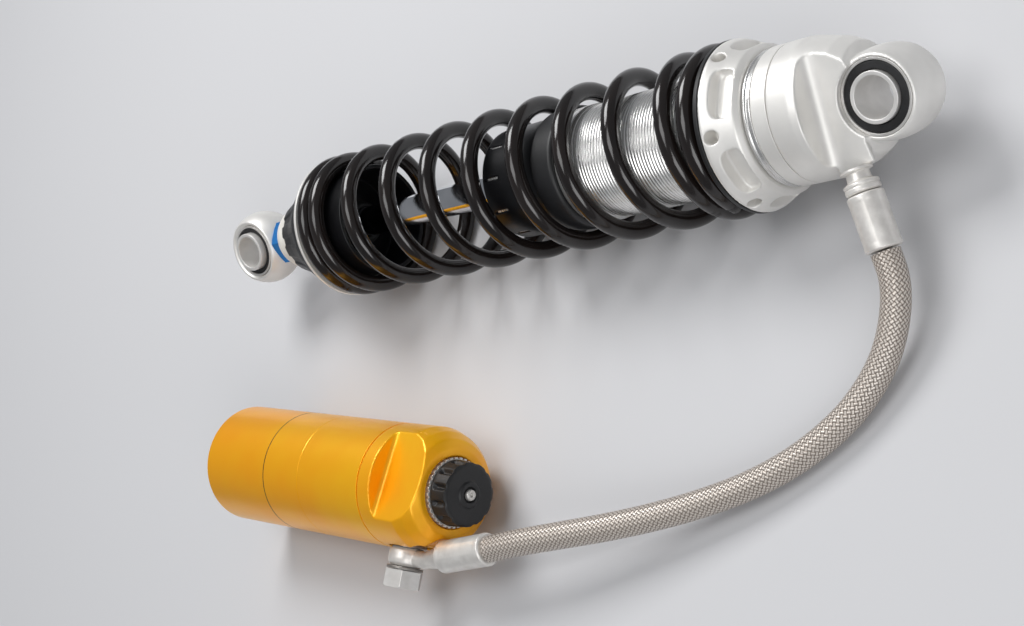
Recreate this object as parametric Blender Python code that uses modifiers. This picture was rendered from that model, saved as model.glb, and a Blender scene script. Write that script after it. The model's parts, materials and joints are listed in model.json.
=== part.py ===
"""Motorcycle rear shock absorber with a remote reservoir, lying on a flat surface.

Units are metres, +Z is up and z = 0 is the surface.  The damper lies along X, its lower eye at -X and
its upper eye at +X.  It rests on the rims of the lower spring seat and the preload ring, and on the
reservoir, which lies beside it at -Y, joined to it by a braided hose.  The origin is on the surface,
under the middle of the part's footprint.
"""

from math import cos, pi, radians, sin, tau

import bmesh
import bpy
from mathutils import Euler, Matrix, Vector

# ---------------------------------------------------------------- driving dimensions
GAP = 0.0003                    # left between neighbours that touch
RIM_R = 0.0334                  # rims of the lower spring seat and the preload ring
SPRING_OUT_R = 0.0339           # the spring is the widest thing on the damper, so it lies on this
AXIS_Y = 0.0700                 # damper axis, measured from the footprint's middle
AXIS_Z = SPRING_OUT_R

EYE_TO_EYE = 0.3702
LOWER_EYE_X = -0.1864
UPPER_EYE_X = LOWER_EYE_X + EYE_TO_EYE
EYE_TILT = radians(123)         # the eye bolts' direction, turned from +Y towards +Z

SHAFT_R = 0.0069
BODY_R = 0.0237                 # over the thread
BORE_R = 0.0210                 # damper bore
STROKE = 0.075
PRELOAD_TRAVEL = 0.012

SEAT_X = -0.1188                # the spring stands on this face of the lower seat
WIRE_R = 0.00375
SPRING_PITCH = 0.02678          # between the open coils
PLATFORM_X = 0.1201             # the spring's upper end bears here
SPRING_PHASE = radians(115.4)   # turned from +Y towards +Z

RESERVOIR_R = 0.0272
RESERVOIR_START = Vector((-0.1742, -0.0416, RESERVOIR_R))
RESERVOIR_HEADING = radians(-8.4)
RESERVOIR_TUBE_L = 0.1175
RESERVOIR_HEAD_L = 0.0325
RESERVOIR_BORE_R = 0.0245

HOSE_R = 0.0055
SLEEVE_R = 0.0069
PORT_START = Vector((0.1708, 0.0430, 0.0337))       # where the hose port leaves the head
PORT_DIRECTION = Vector((0.19, -0.89, -0.415)).normalized()
BANJO_STATION = 0.1272          # along the reservoir, from its closed end
BANJO_TILT = radians(4)         # below horizontal, on the -Y side

# The hose's route between its two crimp sleeves, chosen by hand: down from the damper's head, along
# the surface in one wide bend, and up again to the reservoir.
HOSE_ROUTE = [
    (0.1767, 0.0152, 0.0208), (0.1782, 0.0072, 0.0171), (0.1777, -0.0010, 0.0140),
    (0.1751, -0.0110, 0.0110), (0.1707, -0.0206, 0.0086), (0.1643, -0.0298, 0.0070),
    (0.1563, -0.0384, 0.0061), (0.1465, -0.0462, 0.0058), (0.1354, -0.0531, 0.0058),
    (0.1234, -0.0591, 0.0064), (0.1103, -0.0643, 0.0076), (0.0962, -0.0687, 0.0094),
    (0.0821, -0.0725, 0.0116), (0.0677, -0.0758, 0.0142), (0.0531, -0.0787, 0.0170),
    (0.0380, -0.0812, 0.0198), (0.0224, -0.0836, 0.0224), (0.0090, -0.0856, 0.0240),
    (-0.0025, -0.0874, 0.0244),
]

# ---------------------------------------------------------------- finishes: colour, roughness, metallic
CLEAR_ANODISED = ((0.80, 0.80, 0.79), 0.35, 1.0)
BLACK_ANODISED = ((0.015, 0.015, 0.017), 0.40, 0.6)
GOLD_ANODISED = ((0.95, 0.55, 0.02), 0.30, 1.0)
BLUE_ANODISED = ((0.02, 0.16, 0.50), 0.30, 1.0)
SPRING_PAINT = ((0.012, 0.010, 0.010), 0.20, 0.0)
CHROME = ((0.75, 0.76, 0.78), 0.08, 1.0)
STEEL = ((0.55, 0.55, 0.56), 0.30, 1.0)
BRONZE = ((0.60, 0.42, 0.18), 0.40, 1.0)
RUBBER = ((0.02, 0.02, 0.02), 0.80, 0.0)
SEAL_RUBBER = ((0.10, 0.03, 0.02), 0.60, 0.0)
BLACK_PLASTIC = ((0.03, 0.03, 0.032), 0.50, 0.0)
PTFE = ((0.30, 0.32, 0.20), 0.50, 0.0)
BRAID = ((0.52, 0.49, 0.45), 0.45, 0.8)

for leftover in list(bpy.data.objects):
    bpy.data.objects.remove(leftover)

PARTS = bpy.data.collections.new("rear_shock_absorber")
CUTTERS = bpy.data.collections.new("cutters")
bpy.context.scene.collection.children.link(PARTS)
bpy.context.scene.collection.children.link(CUTTERS)
ALONG_X = Euler((0, pi / 2, 0)).to_matrix().to_4x4()


# ---------------------------------------------------------------- helpers
def axis_empty(name, start, heading=0.0):
    """An empty whose local +Z runs along the world's X, turned by heading about the world's Z."""
    empty = bpy.data.objects.new(name, None)
    turn = Matrix.Rotation(heading, 4, "Z") @ ALONG_X
    empty.matrix_world = Matrix.Translation(start) @ turn
    PARTS.objects.link(empty)
    return empty


def aimed_empty(name, start, direction):
    """An empty whose local +Z points along direction."""
    empty = bpy.data.objects.new(name, None)
    turn = direction.to_track_quat("Z", "Y").to_matrix().to_4x4()
    empty.matrix_world = Matrix.Translation(start) @ turn
    PARTS.objects.link(empty)
    return empty


def make_material(name, finish):
    colour, roughness, metallic = finish
    material = bpy.data.materials.new(name)
    material.use_nodes = True
    shader = material.node_tree.nodes["Principled BSDF"]
    shader.inputs["Base Color"].default_value = (*colour, 1.0)
    shader.inputs["Roughness"].default_value = roughness
    shader.inputs["Metallic"].default_value = metallic
    return material


def add_part(name, mesh, finish, parent=None, place=None):
    """Link a mesh as a named part, with its own material, under its parent's axis."""
    part = bpy.data.objects.new(name, mesh)
    mesh.materials.append(make_material(name, finish))
    PARTS.objects.link(part)
    part.parent = parent
    if place is not None:
        part.matrix_local = place
    return part


def add_cutter(mesh, parent=None, place=None):
    cutter = bpy.data.objects.new("cutter_" + mesh.name, mesh)
    cutter.hide_render = True
    cutter.display_type = "WIRE"
    CUTTERS.objects.link(cutter)
    cutter.parent = parent
    if place is not None:
        cutter.matrix_local = place
    return cutter


def screw_profile(part, steps):
    screw = part.modifiers.new("turn", "SCREW")
    screw.axis = "Z"
    screw.angle = tau
    screw.steps = steps
    screw.render_steps = steps
    screw.use_merge_vertices = True
    screw.merge_threshold = 0.00001
    screw.use_smooth_shade = False


def profile_mesh(name, profile, closed):
    mesh = bpy.data.meshes.new(name)
    count = len(profile)
    edges = [(i, i + 1) for i in range(count - 1)]
    if closed:
        edges.append((count - 1, 0))
    mesh.from_pydata([(r, 0.0, z) for r, z in profile], edges, [])
    return mesh


def turned(name, profile, finish, parent, steps=28):
    """A turned part.  profile is (radius, station) pairs, down the outside first; a profile that
    starts and ends on the axis is solid, and any other is closed into a ring."""
    solid = profile[0][0] == 0.0
    part = add_part(name, profile_mesh(name, profile, not solid), finish, parent)
    screw_profile(part, steps)
    return part


def ring(name, r_in, r_out, low, high, finish, parent, steps=28):
    profile = [(r_out, high), (r_out, low), (r_in, low), (r_in, high)]
    return turned(name, profile, finish, parent, steps)


def barrel_mesh(name, radius, half):
    """Profile of an eye: widest in the middle and rounded off towards both faces."""
    upper = [(0.0, half), (0.86 * radius, half), (0.95 * radius, 0.66 * half),
             (0.99 * radius, 0.33 * half), (radius, 0.0)]
    lower = [(r, -z) for r, z in reversed(upper[:-1])]
    return profile_mesh(name, upper + lower, False)


def ball_mesh(name, radius, half):
    """Profile of a ball eye, cut off flat at both faces."""
    heights = [half * share for share in (1, 0.8, 0.55, 0.28, 0, -0.28, -0.55, -0.8, -1)]
    arc = [((radius ** 2 - 1.1 * z ** 2) ** 0.5, z) for z in heights]
    return profile_mesh(name, [(0.0, half)] + arc + [(0.0, -half)], False)


def cylinder_mesh(name, radius, depth, segments=32):
    mesh = bpy.data.meshes.new(name)
    body = bmesh.new()
    bmesh.ops.create_cone(body, cap_ends=True, segments=segments, radius1=radius, radius2=radius,
                          depth=depth)
    body.to_mesh(mesh)
    body.free()
    return mesh


def box_mesh(name, size):
    mesh = bpy.data.meshes.new(name)
    body = bmesh.new()
    bmesh.ops.create_cube(body, size=1.0, matrix=Matrix.Diagonal((*size, 1.0)))
    body.to_mesh(mesh)
    body.free()
    return mesh


def cut(part, cutter, operation="DIFFERENCE"):
    boolean = part.modifiers.new(cutter.name, "BOOLEAN")
    boolean.operation = operation
    boolean.solver = "EXACT"
    boolean.object = cutter
    return boolean


def hex_nut(name, corner_r, bore_r, low, high, finish, parent, turn):
    """A six-sided nut with a round bore."""
    middle = Matrix.Translation((0, 0, (low + high) / 2))
    nut = add_part(name, cylinder_mesh(name, corner_r, high - low, 6), finish, parent,
                   middle @ Matrix.Rotation(turn, 4, "Z"))
    bore = add_cutter(cylinder_mesh(name + "_bore", bore_r, 2 * (high - low)), parent, middle)
    cut(nut, bore)
    return nut


def smooth_route(points, per_span):
    """Points along a Catmull-Rom curve through the given points."""
    knots = [Vector(p) for p in points]
    ends = [2 * knots[0] - knots[1]] + knots + [2 * knots[-1] - knots[-2]]
    route = []
    for i in range(1, len(ends) - 2):
        p0, p1, p2, p3 = ends[i - 1:i + 3]
        for k in range(per_span):
            t = k / per_span
            route.append(0.5 * (2 * p1 + (p2 - p0) * t + (2 * p0 - 5 * p1 + 4 * p2 - p3) * t ** 2
                                + (3 * p1 - p0 - 3 * p2 + p3) * t ** 3))
    route.append(knots[-1])
    return route


def wire(name, points, radius, finish, parent=None):
    """A round wire or hose along a POLY spline, with filled ends."""
    curve = bpy.data.curves.new(name, "CURVE")
    curve.dimensions = "3D"
    curve.bevel_depth = radius
    curve.bevel_resolution = 2
    curve.use_fill_caps = True
    spline = curve.splines.new("POLY")
    spline.points.add(len(points) - 1)
    for spot, point in zip(spline.points, points):
        spot.co = (*point, 1.0)
    part = bpy.data.objects.new(name, curve)
    curve.materials.append(make_material(name, finish))
    PARTS.objects.link(part)
    part.parent = parent
    return part


def outline_plate(name, points, low, high, finish, parent):
    """A flat outline, filled and given its thickness between two stations."""
    curve = bpy.data.curves.new(name, "CURVE")
    curve.dimensions = "2D"
    curve.fill_mode = "BOTH"
    curve.extrude = (high - low) / 2
    spline = curve.splines.new("POLY")
    spline.points.add(len(points) - 1)
    for spot, (x, y) in zip(spline.points, points):
        spot.co = (x, y, 0.0, 1.0)
    spline.use_cyclic_u = True
    part = bpy.data.objects.new(name, curve)
    curve.materials.append(make_material(name, finish))
    PARTS.objects.link(part)
    part.parent = parent
    part.location = (0.0, 0.0, (low + high) / 2)
    return part


# ---------------------------------------------------------------- axes
DAMPER = axis_empty("damper_axis", (0.0, AXIS_Y, AXIS_Z))
RESERVOIR = axis_empty("reservoir_axis", RESERVOIR_START, RESERVOIR_HEADING)
EYE_DIRECTION = Vector((0.0, cos(EYE_TILT), sin(EYE_TILT)))
UPPER_EYE = aimed_empty("upper_eye_axis", (UPPER_EYE_X, AXIS_Y, AXIS_Z), EYE_DIRECTION)
LOWER_EYE = aimed_empty("lower_eye_axis", (LOWER_EYE_X, AXIS_Y, AXIS_Z), EYE_DIRECTION)
PORT = aimed_empty("port_axis", PORT_START, PORT_DIRECTION)
bpy.context.view_layer.update()


# ---------------------------------------------------------------- damper body
HEAD_X = 0.1408                 # the head's socket starts here
TUBE_LOW_X = 0.0276
TUBE_HIGH_X = 0.1600
SEAL_HEAD_HIGH_X = 0.0395


def build_damper_body():
    """Threaded tube, its black end cap and the seals that the shaft slides through."""
    plain_end = TUBE_LOW_X + 0.0225
    plain_start = TUBE_LOW_X + 0.0124
    turned("body_tube", [
        (BODY_R, TUBE_HIGH_X), (BODY_R, plain_end), (BODY_R + 0.0005, plain_end),
        (BODY_R + 0.0005, plain_start), (BODY_R - 0.0007, plain_start),
        (BODY_R - 0.0007, TUBE_LOW_X), (BORE_R, TUBE_LOW_X), (BORE_R, TUBE_HIGH_X),
    ], CLEAR_ANODISED, DAMPER, 32)
    ring("spring_guide", BODY_R - 0.0007 + GAP, 0.0256, TUBE_LOW_X, plain_start - GAP,
         BLACK_PLASTIC, DAMPER, 32)
    cap_low = -0.0040
    turned("end_cap", [
        (0.0234, TUBE_LOW_X - GAP), (0.0234, cap_low + 0.0015), (0.0219, cap_low), (0.0122, cap_low),
        (0.0122, cap_low + 0.0040), (0.0200, cap_low + 0.0040), (0.0200, TUBE_LOW_X - GAP),
    ], BLACK_ANODISED, DAMPER, 32)
    ring("shaft_wiper", SHAFT_R + GAP, 0.0119, cap_low + 0.0006, cap_low + 0.0037, SEAL_RUBBER,
         DAMPER)
    turned("seal_head", [
        (BORE_R - GAP, SEAL_HEAD_HIGH_X), (BORE_R - GAP, TUBE_LOW_X + GAP),
        (0.0106, TUBE_LOW_X + GAP), (0.0106, 0.0323), (SHAFT_R + GAP, 0.0323),
        (SHAFT_R + GAP, 0.0333), (0.0090, 0.0333), (0.0090, SEAL_HEAD_HIGH_X),
    ], STEEL, DAMPER)
    ring("shaft_seal", SHAFT_R + GAP, 0.0103, TUBE_LOW_X + 0.0006, 0.0320, SEAL_RUBBER, DAMPER, 20)
    ring("guide_bush", SHAFT_R + GAP, 0.0087, 0.0336, SEAL_HEAD_HIGH_X - GAP, BRONZE, DAMPER, 20)
    ring("head_lock_ring", BODY_R + GAP, 0.0252, HEAD_X - 0.0023, HEAD_X - GAP, CLEAR_ANODISED,
         DAMPER, 32)


HEAD_R = 0.0265
HEAD_FLAT = 0.0135              # half the head's thickness where it is milled flat beside the eye
HEAD_FLAT_X = 0.1605
HEAD_END_X = 0.1780
UPPER_LUG_R = 0.0171
UPPER_LUG_HALF = 0.0112


def build_head():
    """Upper head: a socket for the tube, two milled flats, the barrel-shaped eye and the hose port."""
    socket_r = BODY_R + GAP
    head = turned("top_head", [
        (0.0, HEAD_END_X), (0.0160, HEAD_END_X), (0.0205, HEAD_END_X - 0.0020),
        (0.0233, HEAD_END_X - 0.0075), (0.0250, HEAD_END_X - 0.0150), (HEAD_R, HEAD_END_X - 0.0220),
        (HEAD_R, HEAD_X + 0.0008), (HEAD_R - 0.0008, HEAD_X), (socket_r, HEAD_X),
        (socket_r, TUBE_HIGH_X + GAP), (0.0100, TUBE_HIGH_X + GAP), (0.0100, TUBE_HIGH_X + 0.0030),
        (0.0, TUBE_HIGH_X + 0.0030),
    ], CLEAR_ANODISED, DAMPER, 32)
    lug = add_cutter(barrel_mesh("lug", UPPER_LUG_R, UPPER_LUG_HALF), UPPER_EYE)
    screw_profile(lug, 36)
    cut(head, lug, "UNION")

    side_depth = 0.0300
    side_length = 0.0400
    for side in (-1, 1):
        side_box = box_mesh("head_side", (0.0700, side_depth, side_length))
        to_eye = DAMPER.matrix_world.inverted() @ UPPER_EYE.matrix_world
        along = HEAD_FLAT_X - UPPER_EYE_X + side_length / 2
        place = eye_box_place(to_eye, along)
        shift = Matrix.Translation((0, side * (HEAD_FLAT + side_depth / 2), 0))
        cut(head, add_cutter(side_box, DAMPER, place @ shift))

    boss_place = Matrix.Translation((0, 0, -0.0100))
    boss = add_cutter(cylinder_mesh("port_boss", 0.0075, 0.0200, 24), PORT, boss_place)
    seat = add_cutter(cylinder_mesh("port_seat", 0.0085, 0.0200, 24), PORT,
                      Matrix.Translation((0, 0, 0.0100)))
    port_bore = add_cutter(cylinder_mesh("port_bore", 0.0033, 0.0160, 16), PORT,
                           Matrix.Translation((0, 0, -0.0060)))
    bore = add_cutter(cylinder_mesh("eye_bore", UPPER_BUSH_R + GAP, 0.06, 32), UPPER_EYE)
    cut(head, boss, "UNION")
    cut(head, seat)
    cut(head, port_bore)
    cut(head, bore)


def eye_box_place(to_eye, along):
    """Place of a box, in the damper's frame, whose Y side runs along the eye's bolt."""
    centre = to_eye.translation
    bolt = (to_eye.to_3x3() @ Vector((0, 0, 1))).normalized()
    across = bolt.cross(Vector((0, 0, 1))).normalized()
    turn = Matrix((across, bolt, Vector((0, 0, 1)))).transposed()
    if turn.determinant() < 0:
        turn = Matrix((-across, bolt, Vector((0, 0, 1)))).transposed()
    return Matrix.Translation(centre + Vector((0, 0, along))) @ turn.to_4x4()


SLEEVE_IN_R = 0.0078
SLEEVE_OUT_R = 0.0095
UPPER_BUSH_R = 0.0139
LOWER_BUSH_R = 0.0127
EYE_SLEEVE_HALF = 0.0125


def build_eye_bush(side, axis, bush_r, bush_half):
    """The rubber bush pressed in an eye, and the steel sleeve in its middle."""
    ring(side + "_bush", SLEEVE_OUT_R + GAP, bush_r, -bush_half, bush_half, RUBBER, axis, 32)
    ring(side + "_sleeve", SLEEVE_IN_R, SLEEVE_OUT_R, -EYE_SLEEVE_HALF, EYE_SLEEVE_HALF, STEEL,
         axis, 32)


# ---------------------------------------------------------------- shaft and piston
END_PIECE_LOW_X = -0.1612
END_PIECE_HIGH_X = -0.1270
SHAFT_LOW_X = -0.1360
PISTON_LOW_X = 0.0470
PISTON_HIGH_X = 0.0650
SHAFT_HIGH_X = 0.0790
STEM_R = 0.0049                 # the shaft's thin end, through the piston
ROD_BORE_R = 0.0023


def build_shaft():
    """Shaft, with the rebound rod down its middle, and everything stacked on its thin end."""
    turned("shaft", [
        (STEM_R, SHAFT_HIGH_X), (STEM_R, PISTON_LOW_X - 0.0070), (SHAFT_R, PISTON_LOW_X - 0.0070),
        (SHAFT_R, SHAFT_LOW_X), (ROD_BORE_R, SHAFT_LOW_X), (ROD_BORE_R, SHAFT_HIGH_X),
    ], CHROME, DAMPER)
    turned("rebound_rod", [
        (0.0, SHAFT_HIGH_X), (0.0020, SHAFT_HIGH_X - 0.002), (0.0020, SHAFT_LOW_X + 0.001),
        (0.0, SHAFT_LOW_X + 0.001),
    ], STEEL, DAMPER, 16)
    stack = STEM_R + GAP
    ring("top_out_washer", stack, 0.0110, PISTON_LOW_X - 0.0067, PISTON_LOW_X - 0.0037, RUBBER,
         DAMPER, 20)
    ring("rebound_shims", stack, 0.0160, PISTON_LOW_X - 0.0034, PISTON_LOW_X - GAP, STEEL, DAMPER, 20)
    groove_low, groove_high = PISTON_LOW_X + 0.0040, PISTON_HIGH_X - 0.0040
    turned("piston", [
        (0.0204, PISTON_HIGH_X), (0.0204, groove_high), (0.0186, groove_high), (0.0186, groove_low),
        (0.0204, groove_low), (0.0204, PISTON_LOW_X), (stack, PISTON_LOW_X), (stack, PISTON_HIGH_X),
    ], GOLD_ANODISED, DAMPER, 24)
    ring("piston_band", 0.0189, BORE_R - GAP, groove_low + GAP, groove_high - GAP, PTFE, DAMPER, 24)
    ring("compression_shims", stack, 0.0170, PISTON_HIGH_X + GAP, PISTON_HIGH_X + 0.0034, STEEL,
         DAMPER, 20)
    hex_nut("piston_nut", 0.0090, stack, PISTON_HIGH_X + 0.0037, SHAFT_HIGH_X - 0.0020, STEEL,
            DAMPER, radians(10))
    stop_high = SEAT_X + 0.0220
    turned("bump_stop", [
        (0.0105, stop_high), (0.0125, stop_high - 0.0030), (0.0105, stop_high - 0.0070),
        (0.0135, stop_high - 0.0110), (0.0135, stop_high - 0.0170), (SHAFT_R + GAP, stop_high - 0.0170),
        (SHAFT_R + GAP, stop_high),
    ], RUBBER, DAMPER, 20)


def build_lower_end():
    """Everything on the shaft's outer end: spring seat, click ring, end piece, lock nut and eye."""
    turned("lower_spring_seat", [
        (0.0256, SEAT_X + 0.0230), (0.0256, SEAT_X - GAP), (RIM_R, SEAT_X - GAP),
        (RIM_R, SEAT_X - 0.0014), (0.0305, SEAT_X - 0.0016), (0.0278, SEAT_X - 0.0074),
        (0.0110, SEAT_X - 0.0078), (0.0110, SEAT_X - 0.0010), (0.0235, SEAT_X + 0.0010),
        (0.0235, SEAT_X + 0.0230),
    ], BLACK_ANODISED, DAMPER, 36)
    turned("end_piece", [
        (0.0107, END_PIECE_HIGH_X + 0.0070), (0.0107, END_PIECE_HIGH_X), (0.0128, END_PIECE_HIGH_X),
        (0.0128, END_PIECE_LOW_X), (STUD_R + GAP, END_PIECE_LOW_X), (STUD_R + GAP, -0.1387),
        (0.0, -0.1387),
        (0.0, SHAFT_LOW_X - GAP), (SHAFT_R + GAP, SHAFT_LOW_X - GAP),
        (SHAFT_R + GAP, END_PIECE_HIGH_X + 0.0070),
    ], BLACK_ANODISED, DAMPER)
    turned("seat_collar", [
        (0.0160, -0.1503), (0.0160, -0.1570), (0.0131, -0.1612), (0.0131, -0.1503),
    ], CLEAR_ANODISED, DAMPER, 36)
    turned("rebound_knob", [
        (0.0275, -0.1269), (0.0268, -0.1300), (0.0228, -0.1370), (0.0192, -0.1440), (0.0180, -0.1500),
        (0.0131, -0.1500), (0.0131, -0.1269),
    ], BLACK_PLASTIC, DAMPER, 36)
    hex_nut("lock_nut", NUT_R, STUD_R + GAP, -0.1688, -0.1618, BLUE_ANODISED, DAMPER, radians(NUT_TURN))


STUD_R = 0.0060
NUT_R = 0.0117                  # lock nut, over its corners
NUT_TURN = -28
LOWER_EYE_R = 0.0180
LOWER_EYE_HALF = 0.0105


def build_lower_eye():
    """Lower eye: a ball cut off at both faces, and the threaded stud that sets the length."""
    stud_low = LOWER_EYE_X + LOWER_BUSH_R + 0.0020
    eye = turned("lower_eye", [
        (0.0, -0.1390), (STUD_R, -0.1390), (STUD_R, stud_low), (0.0, stud_low),
    ], CLEAR_ANODISED, DAMPER, 32)
    barrel_cutter = add_cutter(ball_mesh("lower_barrel", LOWER_EYE_R, LOWER_EYE_HALF), LOWER_EYE)
    screw_profile(barrel_cutter, 32)
    bore = add_cutter(cylinder_mesh("lower_bore", LOWER_BUSH_R + GAP, 0.05, 32), LOWER_EYE)
    cut(eye, barrel_cutter, "UNION")
    cut(eye, bore)


# ---------------------------------------------------------------- spring and preload ring
def soft_floor(value, floor, softness):
    """The larger of two numbers, with a rounded corner between them."""
    return 0.5 * (value + floor + ((value - floor) ** 2 + softness ** 2) ** 0.5)


def spring_points():
    """Centre line of the wire: open coils at one pitch, and a closed coil at each end.

    The station is a straight line against the turns; near the ends it meets a second, flatter line
    whose pitch is the wire's own thickness, so the last coil lies on its neighbour.
    """
    mean_r = SPRING_OUT_R - WIRE_R
    closed_pitch = 2 * WIRE_R + 0.0004
    low = SEAT_X + WIRE_R
    high = PLATFORM_X - WIRE_R
    first_turn = 2.07
    last_turn = 12.19
    per_turn = 16
    count = int((last_turn - first_turn) * per_turn)
    points = []
    for i in range(count + 1):
        turn = first_turn + (last_turn - first_turn) * i / count
        station = -0.1896 + SPRING_PITCH * turn
        station = soft_floor(station, low + closed_pitch * (turn - first_turn), 0.002)
        station = -soft_floor(-station, -(high - closed_pitch * (last_turn - turn)), 0.002)
        station = max(low, min(high, station))
        angle = tau * turn + SPRING_PHASE
        points.append((-mean_r * sin(angle), mean_r * cos(angle), station))
    return points


def build_spring_and_preload():
    wire("coil_spring", spring_points(), WIRE_R, SPRING_PAINT, DAMPER)
    ring("spring_platform", BODY_R + GAP, 0.0335, PLATFORM_X + GAP, PLATFORM_X + 0.0022, BLACK_PLASTIC,
         DAMPER, 36)
    low = PLATFORM_X + 0.0025
    turned("preload_ring", [
        (0.0272, HEAD_X - 0.0026), (0.0290, HEAD_X - 0.0048), (0.0308, low + 0.0074),
        (RIM_R, low + 0.0012), (RIM_R, low), (BODY_R + GAP, low), (BODY_R + GAP, HEAD_X - 0.0026),
    ], CLEAR_ANODISED, DAMPER, 36)


# ---------------------------------------------------------------- hose and its fittings
def build_hose():
    """Port adapter and crimp sleeve at the head, the braided hose, and the sleeve and banjo at the
    reservoir."""
    turned("port_adapter", [
        (0.0062, 0.0092), (0.0066, 0.0080), (0.0066, 0.0055), (0.0042, 0.0045), (0.0042, 0.0014),
        (0.0062, 0.0010), (0.0062, GAP), (0.0030, GAP), (0.0030, -0.0060), (0.0012, -0.0060),
        (0.0012, 0.0092),
    ], CLEAR_ANODISED, PORT, 24)
    ring("upper_crimp_sleeve", 0.0030, SLEEVE_R, 0.0095, 0.0305, CLEAR_ANODISED, PORT, 24)
    wire("hose", smooth_route(HOSE_ROUTE, 2), HOSE_R, BRAID)


def banjo_matrices():
    """Places of the banjo bolt's axis, pointing out of the reservoir, and of the hose's lower end."""
    out = Matrix.Rotation(RESERVOIR_HEADING, 3, "Z") @ Vector((0, -cos(BANJO_TILT), -sin(BANJO_TILT)))
    on_axis = RESERVOIR.matrix_world @ Vector((0, 0, BANJO_STATION))
    return on_axis, out


WASHER_T = 0.0012
WASHER_R = 0.0079
BANJO_BORE_R = 0.0053
BANJO_SEAT_R = 0.0242           # a flat spot-faced for the inner washer, measured from the axis
BANJO_T = 0.0080
BANJO_R = 0.0077
NECK_R = 0.0036
ELBOW = 0.0120                  # from the banjo's middle to the bend in its neck
SLEEVE_L = 0.0270


def build_banjo():
    """Banjo fitting between two washers, its bolt, and the crimp sleeve on the hose's lower end.

    The neck leaves the banjo square to the bolt and then bends towards the hose.
    """
    on_axis, out = banjo_matrices()
    bolt_axis = aimed_empty("banjo_axis", on_axis, out)
    bpy.context.view_layer.update()
    low = BANJO_SEAT_R + GAP
    ring("inner_washer", BANJO_BORE_R, WASHER_R, low, low + WASHER_T, STEEL, bolt_axis, 32)
    banjo_low = low + WASHER_T + GAP
    banjo_high = banjo_low + BANJO_T
    outer_low = banjo_high + GAP
    ring("outer_washer", BANJO_BORE_R, WASHER_R, outer_low, outer_low + WASHER_T, STEEL, bolt_axis, 32)
    head_low = outer_low + WASHER_T + GAP
    bolt = turned("banjo_bolt", [
        (0.0, head_low + 0.0075), (0.0074, head_low + 0.0075), (0.0086, head_low + 0.0063),
        (0.0086, head_low), (0.0049, head_low), (0.0049, 0.0180), (0.0, 0.0180),
    ], STEEL, bolt_axis, 6)
    bolt.rotation_euler.z = radians(15)

    centre = on_axis + out * (banjo_low + banjo_high) / 2
    hose_end = Vector(HOSE_ROUTE[-1])
    flat = hose_end - centre
    flat = (flat - flat.dot(out) * out).normalized()
    elbow = centre + ELBOW * flat
    towards = hose_end - elbow
    sleeve_low = towards.length - SLEEVE_L
    neck_axis = aimed_empty("neck_axis", centre, flat)
    sleeve_axis = aimed_empty("sleeve_axis", elbow, towards)
    bpy.context.view_layer.update()
    banjo = ring("banjo_fitting", BANJO_BORE_R, BANJO_R, banjo_low, banjo_high, CLEAR_ANODISED, bolt_axis)
    neck = profile_mesh("neck", [
        (0.0, ELBOW + 0.0010), (NECK_R, ELBOW + 0.0010), (NECK_R, BANJO_BORE_R + 0.0008),
        (0.0, BANJO_BORE_R + 0.0008),
    ], False)
    tail = profile_mesh("tail", [
        (0.0, sleeve_low - GAP), (0.0042, sleeve_low - GAP), (NECK_R, 0.0020), (NECK_R, -0.0010),
        (0.0, -0.0010),
    ], False)
    for mesh, axis in ((neck, neck_axis), (tail, sleeve_axis)):
        joined = add_cutter(mesh, axis)
        screw_profile(joined, 20)
        cut(banjo, joined, "UNION")
    ring("lower_crimp_sleeve", 0.0030, SLEEVE_R, sleeve_low, towards.length - 2 * GAP, CLEAR_ANODISED,
         sleeve_axis, 24)
    return bolt_axis, sleeve_axis


# ---------------------------------------------------------------- reservoir
HEAD_LOW = RESERVOIR_TUBE_L + GAP
FLAT_FROM_AXIS = 0.0193         # the reservoir head is milled flat on top, this far from its axis
HEAD_HIGH = RESERVOIR_TUBE_L + RESERVOIR_HEAD_L


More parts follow.
